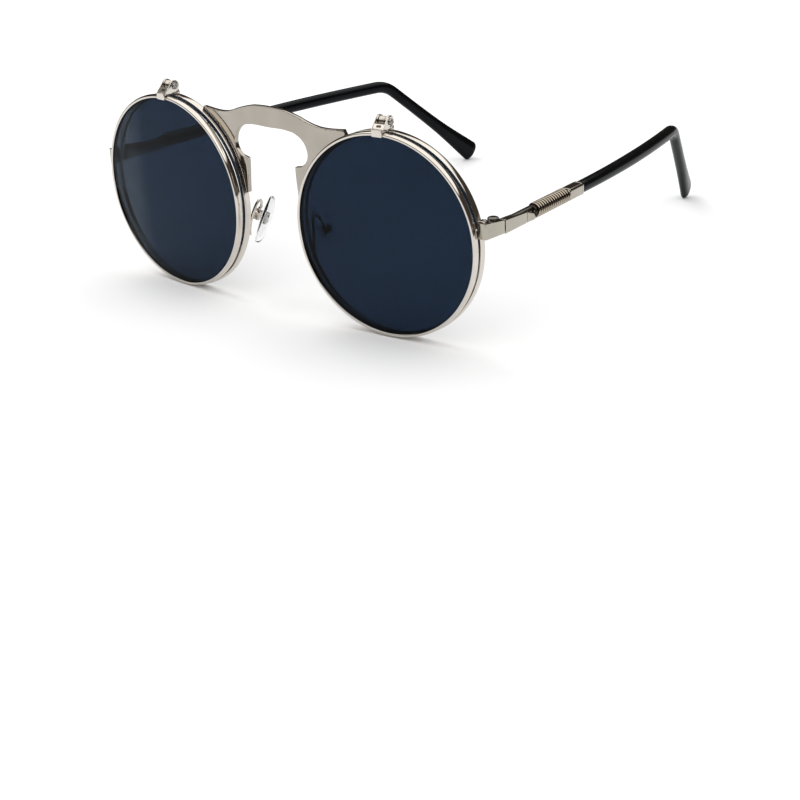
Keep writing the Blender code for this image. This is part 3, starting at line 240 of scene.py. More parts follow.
def lay(item, name, matrix, material, body, nodes, sharp=40.0):
    """Put a piece that was built in its own frame into the shared frame, on its body."""
    item.data.transform(TO_METRES @ matrix)
    item.data.materials.clear()
    item.data.materials.append(material)
    item.data.shade_smooth()
    item.data.set_sharp_from_angle(angle=math.radians(sharp))
    change = item.modifiers.new("normals", "WEIGHTED_NORMAL")
    change.keep_sharp = True
    bake(item)
    item.name = item.data.name = name
    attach(item, body)
    if nodes:
        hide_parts(*nodes)
    return item


# Material helpers

class Shader:
    """A small builder for node materials in object space, in metres."""

    def __init__(self, name):
        self.material = bpy.data.materials.new(name)
        self.material.use_nodes = True
        self.tree = self.material.node_tree
        self.main = self.tree.nodes["Principled BSDF"]
        self.coords = self.node("ShaderNodeTexCoord").outputs["Object"]

    def node(self, kind, **settings):
        made = self.tree.nodes.new(kind)
        for key, value in settings.items():
            setattr(made, key, value)
        return made

    def link(self, source, target):
        self.tree.links.new(source, target)

    def put(self, **values):
        for key, value in values.items():
            self.main.inputs[key.replace("_", " ")].default_value = value

    def noise(self, scale, detail=3.0, stretch=None):
        made = self.node("ShaderNodeTexNoise")
        made.inputs["Scale"].default_value = scale
        made.inputs["Detail"].default_value = detail
        source = self.coords
        if stretch:
            mapping = self.node("ShaderNodeMapping")
            mapping.inputs["Scale"].default_value = stretch
            self.link(source, mapping.inputs["Vector"])
            source = mapping.outputs["Vector"]
        self.link(source, made.inputs["Vector"])
        return made.outputs["Fac"]

    def spread(self, source, low, high, start=0.35, end=0.65):
        made = self.node("ShaderNodeMapRange")
        self.link(source, made.inputs["Value"])
        for key, value in (("From Min", start), ("From Max", end), ("To Min", low), ("To Max", high)):
            made.inputs[key].default_value = value
        return made.outputs["Result"]

    def mix(self, factor, first, second):
        made = self.node("ShaderNodeMix", data_type="RGBA")
        self.link(factor, made.inputs["Factor"])
        for socket, value in ((made.inputs[6], first), (made.inputs[7], second)):
            if isinstance(value, tuple):
                socket.default_value = (*value, 1.0)
            else:
                self.link(value, socket)
        return made.outputs[2]

    def bump(self, height, strength, distance, after=None):
        made = self.node("ShaderNodeBump")
        made.inputs["Strength"].default_value = strength
        made.inputs["Distance"].default_value = distance
        self.link(height, made.inputs["Height"])
        if after:
            self.link(after, made.inputs["Normal"])
        return made.outputs["Normal"]


def metal(name, tone, tone2, rough=(0.04, 0.09), grain=(1.0, 1.0, 26.0)):
    """Polished metal: tone drifts slowly, buffing lines and smudges vary the gloss, edges wear."""
    s = Shader(name)
    s.put(Metallic=1.0)
    drift = s.spread(s.noise(140.0, 2.0), 0.0, 1.0)
    colour = s.mix(drift, tone, tone2)
    geometry = s.node("ShaderNodeNewGeometry")
    edge = s.spread(geometry.outputs["Pointiness"], 0.0, 0.5, 0.52, 0.62)
    worn = tuple(min(1.0, part * 1.12) for part in tone2)
    s.link(s.mix(edge, colour, worn), s.main.inputs["Base Color"])
    smudge = s.noise(520.0, 4.0)
    lines = s.noise(60.0, 3.0, stretch=grain)
    both = s.node("ShaderNodeMath", operation="MULTIPLY_ADD")
    s.link(smudge, both.inputs[0])
    both.inputs[1].default_value = 0.6
    scaled = s.node("ShaderNodeMath", operation="MULTIPLY")
    s.link(lines, scaled.inputs[0])
    scaled.inputs[1].default_value = 0.4
    s.link(scaled.outputs[0], both.inputs[2])
    s.link(s.spread(both.outputs[0], rough[0], rough[1]), s.main.inputs["Roughness"])
    first = s.bump(s.noise(100.0, 4.0, stretch=grain), 0.04, 0.00002)
    s.link(s.bump(s.noise(2600.0, 2.0), 0.04, 0.00001, first), s.main.inputs["Normal"])
    return s.material


def black_acetate():
    s = Shader("black_acetate")
    # The pale blue specular tint is a painted highlight colour: it tints every reflection on the black parts blue
    s.put(IOR=1.28, Specular_IOR_Level=0.33, Specular_Tint=(0.75, 0.88, 1.0, 1.0))
    drift = s.spread(s.noise(70.0, 3.0), 0.0, 1.0)
    s.link(s.mix(drift, (0.0022, 0.0024, 0.0026), (0.004, 0.0042, 0.0046)), s.main.inputs["Base Color"])
    s.link(s.spread(s.noise(260.0, 4.0), 0.12, 0.22), s.main.inputs["Roughness"])
    s.link(s.bump(s.noise(900.0, 2.0), 0.05, 0.00002), s.main.inputs["Normal"])
    return s.material


def tinted_glass():
    """Blue-grey glass, a little darker upwards, with painted light: a paler zone towards one outer edge stands for
    the brighter background seen through the lens there.
    """
    s = Shader("tinted_glass")
    s.put(Transmission_Weight=1.0, IOR=1.17)
    place = s.node("ShaderNodeSeparateXYZ")
    s.link(s.coords, place.inputs[0])
    fall = s.spread(place.outputs["Z"], 0.0, 1.0, 0.0, 0.05)
    tint = s.mix(fall, (0.0105, 0.023, 0.048), (0.0085, 0.019, 0.041))
    # Painted light: a paler tint towards the outer edge of one lens, for the brighter background seen through it
    edge = s.spread(place.outputs["X"], 1.0, 0.0, -0.0515, -0.0455)
    s.link(s.mix(edge, tint, (0.036, 0.052, 0.076)), s.main.inputs["Base Color"])
    s.link(s.spread(s.noise(120.0, 3.0), 0.0, 0.006), s.main.inputs["Roughness"])
    return s.material


def clear_glass():
    s = Shader("clear_glass")
    s.put(Transmission_Weight=1.0, IOR=1.25)
    drift = s.spread(s.noise(90.0, 2.0), 0.0, 1.0)
    s.link(s.mix(drift, (0.955, 0.975, 0.97), (0.965, 0.98, 0.98)), s.main.inputs["Base Color"])
    s.link(s.spread(s.noise(150.0, 3.0), 0.0, 0.015), s.main.inputs["Roughness"])
    return s.material


def clear_silicone():
    s = Shader("clear_silicone")
    s.put(Transmission_Weight=1.0, IOR=1.13)
    drift = s.spread(s.noise(350.0, 3.0), 0.0, 1.0)
    s.link(s.mix(drift, (0.95, 0.96, 0.96), (0.99, 0.995, 0.995)), s.main.inputs["Base Color"])
    s.link(s.spread(s.noise(600.0, 3.0), 0.02, 0.08), s.main.inputs["Roughness"])
    s.link(s.bump(s.noise(1500.0, 2.0), 0.06, 0.00003), s.main.inputs["Normal"])
    return s.material


NICKEL = metal("rim_nickel", (0.69, 0.645, 0.59), (0.75, 0.705, 0.65))
# Painted shade: the bridge, temple and coil nickel are darker copies of the rims' nickel
PLATE_PAINTED_SHADE = metal("bridge_nickel_painted_shade", (0.43, 0.395, 0.345), (0.47, 0.43, 0.38), rough=(0.06, 0.11), grain=(22.0, 1.0, 1.0))
TEMPLE_PAINTED_SHADE = metal("temple_nickel_painted_shade", (0.44, 0.41, 0.35), (0.49, 0.46, 0.40), rough=(0.05, 0.1), grain=(1.0, 1.0, 30.0))
WIRE_PAINTED_SHADE = metal("coil_nickel_painted_shade", (0.41, 0.35, 0.275), (0.47, 0.415, 0.345), rough=(0.04, 0.08))
# Painted shade: near-black metal for the coil core, standing for the dark gaps between turns and the shaded front
# end
SHADE = metal("coil_core", (0.05, 0.042, 0.032), (0.075, 0.064, 0.05), rough=(0.3, 0.4))
# Dark metal of the hinge screw; on the bar rod the same colour is painted shade for the bar's dark top
DARK = metal("hinge_screw", (0.15, 0.14, 0.125), (0.2, 0.19, 0.17), rough=(0.12, 0.22))
STEEL = metal("screw_steel", (0.36, 0.35, 0.33), (0.44, 0.43, 0.41), rough=(0.1, 0.2))
BLACK = black_acetate()
TINT = tinted_glass()
CLEAR = clear_glass()
SILICONE = clear_silicone()


# Frames of the moving and fixed groups, in millimetres

def lens_plane(side):
    return Matrix.Translation((side * HALF_SPACING, SETBACK, RIM_R)) @ Matrix.Rotation(side * WRAP, 4, "Z")


def flip_axis(side):
    return lens_plane(side) @ Matrix.Translation((0.0, -PIN_FORWARD, PIN_HEIGHT))


def flip_tilt(side):
    return flip_axis(side) @ Matrix.Rotation(FLIP_TILT, 4, "X")


def flip_centre(side):
    return flip_tilt(side) @ Matrix.Translation((0.0, -RIM_FORWARD, -RIM_DROP))


LEVEL = 4.8
FRONT_BACK = RIM_R * math.sin(WRAP) - 1.9225
CORNER = 27.6
REAR = 28.4
WALL = 1.3
REAR_BACK = FRONT_BACK + 6.5
PIVOT_BACK = REAR_BACK - 1.4
PIVOT_REACH = REAR - 2.4
SPLAY = math.radians(4.0)
DROP = math.tan(math.radians(1.1))


def at_side(side, reach, back, level):
    return Vector((side * (HALF_SPACING + reach), SETBACK + back, RIM_R + level))


def pivot(side, level=0.0):
    return at_side(side, PIVOT_REACH, PIVOT_BACK, LEVEL + level)


def temple_frame(side):
    return Matrix.Translation(pivot(side)) @ Matrix.Rotation(side * SPLAY, 4, "Z")


PAD_AT = (9.5, 4.25, -4.8)


def pad_frame(side):
    place = at_side(side, PAD_AT[0] - HALF_SPACING, PAD_AT[1], PAD_AT[2])
    return (Matrix.Translation(place) @ Matrix.Rotation(-side * math.radians(25.5), 4, "Y")
            @ Matrix.Rotation(-side * math.radians(25.0), 4, "Z"))


def rim_space(side, extra=SOLDER):
    normal = Vector((-side * math.sin(WRAP), math.cos(WRAP), 0.0))
    centre = at_side(side, 0.0, 0.0, 0.0)
    return rod(RIM_R + extra, centre - normal * 8, centre + normal * 8, 256)


IDENTITY = Matrix.Identity(4)
UPRIGHT = Matrix.Rotation(math.pi / 2, 4, "X")


# Rims: a crowned wall, softened edges, a lens groove and on the main rims a deeper front lip

def rim_profile(depth, crown, lip):
    half = depth / 2
    outer, inner = RIM_R, RIM_IN
    edge = outer - crown
    points = []
    for step in range(9):
        share = 1 - 2 * step / 8
        points.append((outer - crown * share ** 2, share * (half - 0.16)))
    points += [(edge - 0.05, -half + 0.07), (edge - 0.13, -half + 0.02), (edge - 0.22, -half)]
    points += [(inner + 0.2, -half), (inner + 0.07, -half + 0.03), (inner, -half + 0.12)]
    points += [(inner, -0.5), (inner + 0.45, -0.25), (inner + 0.45, 0.25), (inner, 0.5)]
    points += [(inner, 0.64), (inner - lip, 0.68), (inner - lip, half - 0.1)]
    points += [(inner - lip + 0.06, half - 0.03), (inner - lip + 0.16, half)]
    points += [(edge - 0.22, half), (edge - 0.13, half - 0.02), (edge - 0.05, half - 0.07)]
    return points


def make_rim(depth, crown, lip, split):
    rim = lathe(rim_profile(depth, crown, lip), 288, True)
    rim.data.transform(UPRIGHT)
    return cut(rim, box(*split))


def make_lens():
    """A domed lens with a bevelled edge in the groove."""
    radius, edge, edge_line = RIM_IN - 0.12, RIM_IN + 0.32, 0.14
    dome, half = 0.6, 0.55
    rows = [(share * radius, dome * (1 - share ** 2)) for share in [step / 14 for step in range(15)]]
    front = [(r, h + half) for r, h in rows]
    back = [(r, h - half) for r, h in reversed(rows)]
    lens = lathe(front + [(edge, edge_line), (edge, -edge_line)] + back, 192, False)
    lens.data.transform(UPRIGHT)
    return lens


# Bridge: the stamped plate's outline with rounded edges, bent to meet both rims

PLATE_BEND, PLATE_THICK, PLATE_EDGE = 12.0, 1.2, 0.12
ARM_REACH, ARM_HIGH = 23.0, 1.3
ARCH_RISE, ARCH_TO_KEYHOLE = 3.0, 5.1
KEYHOLE_HIGH, KEYHOLE_HALF, HOOK_HALF = 8.9, 11.9, 7.9
LOWER_LENGTH, LOWER_TIP = 9.3, 1.2
BEND_STEP = 0.5


def flat_centre():
    radius = PLATE_BEND / WRAP
    return PLATE_BEND + (HALF_SPACING - radius * math.sin(WRAP)) / math.cos(WRAP)


def bent(flat, offset):
    side = math.copysign(1.0, flat)
    turn = WRAP * min(abs(flat) / PLATE_BEND, 1.0)
    radius = PLATE_BEND / WRAP
    straight = max(abs(flat) - PLATE_BEND, 0.0)
    along = radius * math.sin(turn) + straight * math.cos(WRAP)
    back = radius * (1 - math.cos(turn)) + straight * math.sin(WRAP)
    return side * (along - offset * math.sin(turn)), back + offset * math.cos(turn)


ARCH = ((0.0, 1.0), (0.11, 0.985), (0.22, 0.915), (0.32, 0.75), (0.42, 0.53), (0.52, 0.24),
        (0.62, 0.02), (0.72, -0.09), (0.84, -0.09), (1.0, 0.0))
KEYHOLE = ((0.0, 1.0), (0.16, 1.005), (0.34, 1.01), (0.52, 0.99), (0.68, 0.95), (0.82, 0.85),
           (0.93, 0.70), (0.985, 0.53), (1.0, 0.38), (0.975, 0.24), (0.91, 0.12), (0.82, 0.045), (0.71, 0.01))
LOWER_ARM = ((0.0, 0.0), (0.0, 0.2), (0.25, 0.48), (0.5, 0.72), (0.62, 0.96))


def flat_smooth(points, steps=6):
    return [(point.x, point.y) for point in smooth_route([(x, y, 0.0) for x, y in points], steps)]


def bridge_outline():
    centre = flat_centre()
    seat = RIM_R + SOLDER
    tip_across = centre - ARM_REACH
    tip_up = math.sqrt((RIM_R + GAP + ARM_HIGH) ** 2 - tip_across ** 2)
    hook_up = tip_up + ARCH_RISE - ARCH_TO_KEYHOLE - KEYHOLE_HIGH
    top = flat_smooth([(-ARCH[1][0] * ARM_REACH, tip_up + ARCH[1][1] * ARCH_RISE)]
                      + [(share * ARM_REACH, tip_up + rise * ARCH_RISE) for share, rise in ARCH])[6:]
    start = math.atan2(tip_up, -tip_across)
    end = math.pi - math.asin((hook_up - LOWER_LENGTH) / seat)
    arc = []
    for step in range(81):
        angle = start + (end - start) * step / 80
        arc.append((centre + seat * math.cos(angle), seat * math.sin(angle)))
    spread = arc[-1][0] - LOWER_TIP - HOOK_HALF
    arm = [(HOOK_HALF + across * spread, hook_up - down * LOWER_LENGTH)
           for across, down in reversed(LOWER_ARM)]
    hole = [(across * KEYHOLE_HALF, hook_up + up * KEYHOLE_HIGH) for across, up in reversed(KEYHOLE)]
    hole = flat_smooth(hole + [(-hole[-2][0], hole[-2][1])])[:-6]
    return top + arc + flat_smooth(arm) + hole


def make_bridge():
    half = bridge_outline()
    outline = half + [(-across, up) for across, up in reversed(half[1:-1])]
    item = plate(outline, PLATE_THICK, PLATE_EDGE)
    shape = bmesh.new()
    shape.from_mesh(item.data)
    steps = round(2 * PLATE_BEND / BEND_STEP)
    for index in range(-steps, steps + 1):
        geometry = shape.verts[:] + shape.edges[:] + shape.faces[:]
        bmesh.ops.bisect_plane(shape, geom=geometry, dist=0.0001, plane_co=(index * BEND_STEP, 0.0, 0.0),
                               plane_no=(1.0, 0.0, 0.0))
    radius = PLATE_BEND / WRAP
    forward = radius * (1 - math.cos(WRAP)) + (flat_centre() - PLATE_BEND) * math.sin(WRAP)
    for vert in shape.verts:
        across, back = bent(vert.co.x, -vert.co.z)
        vert.co = (across, back - forward + SETBACK, vert.co.y + RIM_R)
    bmesh.ops.triangulate(shape, faces=[face for face in shape.faces if len(face.verts) > 4])
    bmesh.ops.recalc_face_normals(shape, faces=shape.faces)
    shape.to_mesh(item.data)
    shape.free()
    return item


# Flip hinge pieces

def hull(points):
    points = sorted(points, key=lambda point: (point.x, point.y))
    rows = []
    for run in (points, points[::-1]):
        row = []
        for point in run:
            while len(row) > 1 and (row[-1] - row[-2]).cross(point - row[-2]) <= 0:
                row.pop()
            row.append(point)
        rows += row[:-1]
    return [(point.x, point.y) for point in rows]


def ear(centre, radius, corners, thickness, inner, side):
    points = [Vector(corner) for corner in corners]
    for index in range(64):
        angle = 2 * math.pi * index / 64
        points.append(Vector(centre) + radius * Vector((math.cos(angle), math.sin(angle))))
    item = plate(hull(points), thickness, 0.07)
    turn = Matrix(((0.0, 0.0, 1.0, 0.0), (1.0, 0.0, 0.0, 0.0), (0.0, 1.0, 0.0, 0.0), (0.0, 0.0, 0.0, 1.0)))
    item.data.transform(Matrix.Translation((side * (inner + thickness / 2), 0.0, 0.0)) @ turn)
    return item


FLIP_EAR_THICK = 0.28


def make_flip_base():
    """A plate on the main rim with two ears between the yoke's and a low stop behind."""
    bottom, top = RIM_R + SOLDER, RIM_R + 0.55
    base = bevel(box((-1.6, -0.77, bottom), (1.6, 0.77, top)), 0.08, 2)
    pin = (-PIN_FORWARD, PIN_HEIGHT)
    ears = [ear(pin, 1.46, ((-0.8, bottom + 0.05), (0.8, bottom + 0.05), (0.8, top)), FLIP_EAR_THICK, 1.08, side)
            for side in (1, -1)]
    stop = bevel(box((-1.55, 0.34, bottom + 0.1), (1.55, 0.69, RIM_R + 1.05)), 0.09, 2)
    join(base, *ears, stop)
    return cut(base, rod(0.58, (-4, *pin), (4, *pin), 32))


def make_flip_pin():
    """A hollow-ended rivet: a rolled ring round a sunk centre at each end."""
    cap = [(0.0, 1.86), (0.28, 1.88), (0.36, 1.98), (0.42, 2.09), (0.52, 2.15), (0.64, 2.14), (0.74, 2.07),
           (0.79, 1.96), (0.8, 1.84), (0.76, 1.75), (0.5, 1.74)]
    pin = lathe(cap + [(r, -h) for r, h in reversed(cap)], 48, False)
    pin.data.transform(Matrix.Rotation(math.pi / 2, 4, "Y"))
    return pin


def make_flip_bracket():
    """The yoke on the flip rim: outer ears, a foot with a front tab and a leaning plate with a window."""
    top = RIM_R - RIM_DROP + 0.75
    bottom = top - 0.73
    front, back = -RIM_FORWARD - 0.85, -RIM_FORWARD + 0.85
    face = -RIM_FORWARD - FLIP_DEPTH / 2 - 0.02
    foot = bevel(box((-1.6, front + 0.1, bottom), (1.6, back - 0.1, top)), 0.08, 2)
    corners = ((front, bottom + 0.05), (back, bottom + 0.05), (front, top))
    ears = [ear((0.0, 0.0), 1.5, corners, FLIP_EAR_THICK, 1.42, side) for side in (1, -1)]
    screen = bevel(box((-1.5, -0.15, 0.0), (1.5, 0.15, 1.3)), 0.05, 2)
    cut(screen, bevel(box((-0.65, -1.0, 0.4), (0.65, 1.0, 1.0)), 0.12, 2))
    screen.data.transform(Matrix.Translation((0.0, front + 0.4, top - 0.08))
                          @ Matrix.Rotation(math.radians(-38.7), 4, "X"))
    tab = bevel(box((-1.4, face - 0.4, bottom - 1.02), (1.4, face, top - 0.05)), 0.11, 3)
    lip = box((-1.3, face - 0.3, bottom + 0.12), (1.3, front + 0.4, top - 0.1))
    join(foot, *ears, screen, tab, lip)
    return cut(foot, rod(0.56, (-4, 0, 0), (4, 0, 0), 32))


def helix(turns, pitch, radius, start, per_turn):
    count = round(turns * per_turn)
    points = []
    for index in range(count + 1):
        turn = index / per_turn
        angle = start + 2 * math.pi * turn
        points.append(Vector((pitch * (turn - turns / 2), radius * math.cos(angle), radius * math.sin(angle))))
    return points


def make_flip_spring():
    """Close turns round the pin, one leg down on the base plate, one forward over the yoke."""
    coil = helix(5.25, 0.34, 1.08, 0.0, 36)
    first, last = coil[0], coil[-1]
    rear = [first + Vector((0.0, 0.0, drop)) for drop in (-1.5, -1.0, -0.5)]
    front = [last + Vector((0.0, -reach, 0.0)) for reach in (0.4, 0.8, 1.15)]
    return tube(rear + coil + front, 0.15, 4)


# Rim lock, end piece and temple hinge

def rim_reach(level):
    return math.sqrt(RIM_R ** 2 - level ** 2) * math.cos(WRAP)


LOCK_HIGH, LOCK_DEPTH = 4.2, 1.8
LOCK_OUT = CORNER - WALL - GAP
LOCK_FRONT = FRONT_BACK + 1.45
LOCK_X = (rim_reach(LEVEL) + GAP + LOCK_OUT) / 2


SMALL_BORE = 0.36


def make_lock(side, upper):
    start = rim_reach(LEVEL + LOCK_HIGH)
    near, far = RIM_SPLIT / 2, LOCK_HIGH / 2
    bottom, top = (LEVEL + near, LEVEL + far) if upper else (LEVEL - far, LEVEL - near)
    block = box(at_side(side, start, LOCK_FRONT, bottom),
                at_side(side, LOCK_OUT, LOCK_FRONT + LOCK_DEPTH, top))
    bevel(block, 0.14, 3)
    place = LOCK_FRONT + LOCK_DEPTH / 2
    bore = rod(SMALL_BORE, at_side(side, LOCK_X, place, bottom - 1),
               at_side(side, LOCK_X, place, top + 1), 32)
    return cut(block, bore, rim_space(side))


def screw_head(radius, height, slot_depth, shank_radius, shank_length):
    """A round-topped screw along +Z, its head's underside at zero."""
    profile = [(0.0, height), (radius * 0.4, height * 0.97), (radius * 0.75, height * 0.84),
               (radius * 0.94, height * 0.6), (radius, height * 0.3), (radius * 0.98, 0.03),
               (radius * 0.95, 0.0), (shank_radius, 0.0), (shank_radius, -shank_length), (0.0, -shank_length)]
    item = lathe(profile, 48, False)
    wide = radius * 0.26
    return cut(item, box((-radius * 2, -wide / 2, height - slot_depth), (radius * 2, wide / 2, height * 3)))


def knurled_head(radius, height, slot_depth, shank_radius, shank_length):
    """A slotted screw along +Z whose head is cut with fine upright grooves."""
    item = screw_head(radius, height, slot_depth, shank_radius, shank_length)
    grooves = []
    for index in range(14):
        angle = 2 * math.pi * index / 14
        place = Vector((math.cos(angle), math.sin(angle), 0.0)) * (radius + 0.04)
        grooves.append(rod(0.17, place + Vector((0, 0, -0.1)), place + Vector((0, 0, height * 1.2)), 8))
    return cut(item, *grooves)


def end_outline(side):
    start = rim_reach(LEVEL + LOCK_HIGH)
    rounding = 0.55
    points = [(start, FRONT_BACK)]
    for step in range(13):
        angle = math.pi / 2 * step / 12
        points.append((CORNER - rounding * (1 - math.sin(angle)),
                       FRONT_BACK + rounding * (1 - math.cos(angle))))
    points += [(REAR, REAR_BACK - 0.22), (REAR - WALL, REAR_BACK - 0.22), (CORNER - WALL, FRONT_BACK + WALL),
               (start, FRONT_BACK + WALL)]
    return [(side * (HALF_SPACING + reach), SETBACK + back) for reach, back in points]


KNUCKLES = ((-1.65, -0.75), (-0.6, 0.6), (0.75, 1.65))
KNUCKLE_R, HINGE_BORE = 1.45, 0.62
END_HIGH, END_LOSS, END_LENGTH = 3.8, 0.7, 6.5


def make_end_piece(side):
    piece = plate(end_outline(side), END_HIGH)
    for vert in piece.data.vertices:
        share = (vert.co.y - SETBACK - FRONT_BACK) / END_LENGTH
        height = END_HIGH - END_LOSS * share
        vert.co.z = RIM_R + LEVEL + 0.2 * (1 - share) + math.copysign(height / 2, vert.co.z)
    bevel(piece, 0.2, 4, 50)
    lower, middle, upper = KNUCKLES
    barrels = [bevel(rod(KNUCKLE_R, pivot(side, low), pivot(side, high)), 0.1, 2)
               for low, high in (lower, upper)]
    join(piece, *barrels)
    pocket = rod(KNUCKLE_R + GAP, pivot(side, lower[1]), pivot(side, upper[0]))
    bore = rod(HINGE_BORE, pivot(side, -3), pivot(side, 3))
    return cut(piece, pocket, bore, rim_space(side))


def temple_point(side, across, along, up=0.0):
    return Vector((side * across, along, up - along * DROP))


BAR_X, BAR_START = 1.7, 1.65
BAR_IN = 0.3
BAR_LINE = BAR_START + 9.8
NECK_END = BAR_LINE + 2.2
SHOULDER, FERRULE_LENGTH = 1.0, 6.6
CORE_R, CORE_TIP_R, CORE_TIP_DEPTH = 1.1, 0.7, 10.0
COIL_START = NECK_END + SHOULDER + GAP
# As long as the solid coil, with its 13 turns and two ends
COIL_LENGTH = 13 * 1.05 + 2 * 1.6 * 0.6
COIL_TURNS, COIL_R, COIL_WIRE, COIL_INSET = 14.5, 1.61, 0.285, 0.35
COIL_ANGLE = -2.2
FERRULE_START = COIL_START + COIL_LENGTH + GAP
TIP_START = FERRULE_START + FERRULE_LENGTH + GAP


def make_temple_bar(side):
    """Rings from the hinge to the core rod: distance back, half width, half height, squareness, lift."""
    across, up = Vector((side, 0.0, 0.0)), Vector((0.0, 0.0, 1.0))
    line, end = BAR_LINE, NECK_END
    stations = [
        (BAR_START + 0.1, 0.92, 1.66, 0.95, -0.17), (BAR_START + 0.15, 0.98, 1.72, 0.95, -0.17),
        (BAR_START + 0.24, 1.0, 1.74, 0.95, -0.18), (line - 0.24, 1.0, 1.38, 0.95, -0.52),
        (line - 0.18, 0.97, 1.35, 0.95, -0.52), (line - 0.15, 0.78, 1.22, 0.95, -0.52),
        (line + 0.15, 0.78, 1.2, 0.95, -0.54), (line + 0.18, 0.96, 1.3, 0.95, -0.55),
        (line + 0.24, 0.99, 1.32, 0.95, -0.56), (line + 1.2, 1.0, 1.1, 0.94, -0.75),
        (end, 1.02, 0.94, 0.92, -0.88), (end + 0.75, 1.0, 0.75, 0.9, -1.0),
        (end + 0.92, 0.95, 0.7, 0.8, -0.98), (end + SHOULDER, CORE_R, CORE_R, 0.0, 0.0),
        (FERRULE_START + FERRULE_LENGTH / 2, CORE_R, CORE_R, 0.0, 0.0),
        (FERRULE_START + FERRULE_LENGTH * 0.75, CORE_TIP_R, CORE_TIP_R, 0.0, 0.0),
        (TIP_START + CORE_TIP_DEPTH, CORE_TIP_R, CORE_TIP_R, 0.0, 0.0),
    ]
    rings = []
    for along, wide, high, square, lift in stations:
        inset = BAR_IN * max(0.0, min(1.0, (end + 0.4 - along) / 1.8))
        rings.append(section(temple_point(side, BAR_X - inset, along, lift), across, up, wide, high, square, 56))
    bar = loft(rings)
    low, high = KNUCKLES[1]
    knuckle = bevel(rod(KNUCKLE_R, (0, 0, low), (0, 0, high)), 0.08, 2)
    leaf = box((side * -0.18, 0.08, -0.52), (side * 0.82, 3.4, 0.52))
    root = box((side * 0.32, BAR_START + 0.08, -0.3), (side * BAR_X, 3.3, 0.3))
    join(bar, knuckle, leaf, root)
    return cut(bar, rod(HINGE_BORE, (0, 0, -2), (0, 0, 2)))


def make_bar_rod(side):
    """The rod that rises out of the bar's back and carries the coil; its near-black metal is painted shade for the
    bar's dark top.
    """
    along = Vector((0.0, 1.0, -DROP)).normalized()
    length = COIL_START - BAR_START - 1.45
    radius = 1.12
    profile = [(0.0, 0.0), (radius, 0.0), (radius, length - 0.15), (radius - 0.12, length), (0.0, length)]
    item = lathe(profile, 48, False)
    turn = along.to_track_quat("Z", "Y").to_matrix().to_4x4()
    item.data.transform(Matrix.Translation(temple_point(side, BAR_X - 0.5, BAR_START + 1.5, 0.22)) @ turn)
    return item


def make_coil(side):
    """Turns of wire round the core."""
    pitch = (COIL_LENGTH - 2 * COIL_INSET) / COIL_TURNS
    middle = COIL_START + COIL_LENGTH / 2
    route = [temple_point(side, BAR_X + point.y, middle + point.x, point.z)
             for point in helix(COIL_TURNS, pitch, COIL_R, COIL_ANGLE, 36)]
    return tube(route, COIL_WIRE, 5)


def make_coil_core(side):
    """The sleeve that the coil is wound on, with a collar at its front; its near-black metal is painted shade for
    the gaps between turns and the coil's front end.
    """
    profile = [(1.2, COIL_LENGTH), (1.26, COIL_LENGTH - 0.05), (1.28, COIL_LENGTH - 0.2), (1.28, 0.25),
               (1.36, 0.2), (1.42, 0.1), (1.42, -0.2), (1.32, -0.36), (1.1, -0.42), (0.9, -0.42),
               (0.9, COIL_LENGTH)]
    item = lathe(profile, 48, True)
    along = Vector((0.0, 1.0, -DROP)).normalized()
    turn = along.to_track_quat("Z", "Y").to_matrix().to_4x4()
    item.data.transform(Matrix.Translation(temple_point(side, BAR_X, COIL_START)) @ turn)
    return item


def make_ferrule(side):
    """A softly squared sleeve with a shallow ring near its rear end."""
    across, up = Vector((side, 0.0, 0.0)), Vector((0.0, 0.0, 1.0))
    size, length = 1.58, FERRULE_LENGTH
    stations = [(0.0, size - 0.16), (0.06, size - 0.06), (0.2, size), (5.7, size), (5.76, size - 0.08),
                (5.9, size - 0.08), (5.96, size), (length - 0.16, size), (length - 0.05, size - 0.05),
                (length, size - 0.14)]
    rings = [section(temple_point(side, BAR_X, FERRULE_START + along), across, up, half, half, 0.62, 56)
             for along, half in stations]
    bore = rod(1.25, temple_point(side, BAR_X, FERRULE_START - 1),
               temple_point(side, BAR_X, FERRULE_START + 9))
    return cut(loft(rings), bore)


PADDLE_HIGH, PADDLE_WIDE, PADDLE_CAP = 3.1, 1.35, 1.6
EAR_ROLL = math.radians(-8.0)
TIP_SHIFT = 5.1
BEND, BEND_R, EAR = 99.0, 7.5, 40.8
TIP_R, EAR_HIGH, EAR_WIDE = 1.56, 1.65, 1.45
EAR_LEAN, PADDLE_LIFT = math.radians(8.6), 2.7
TIP_STEPS = 24


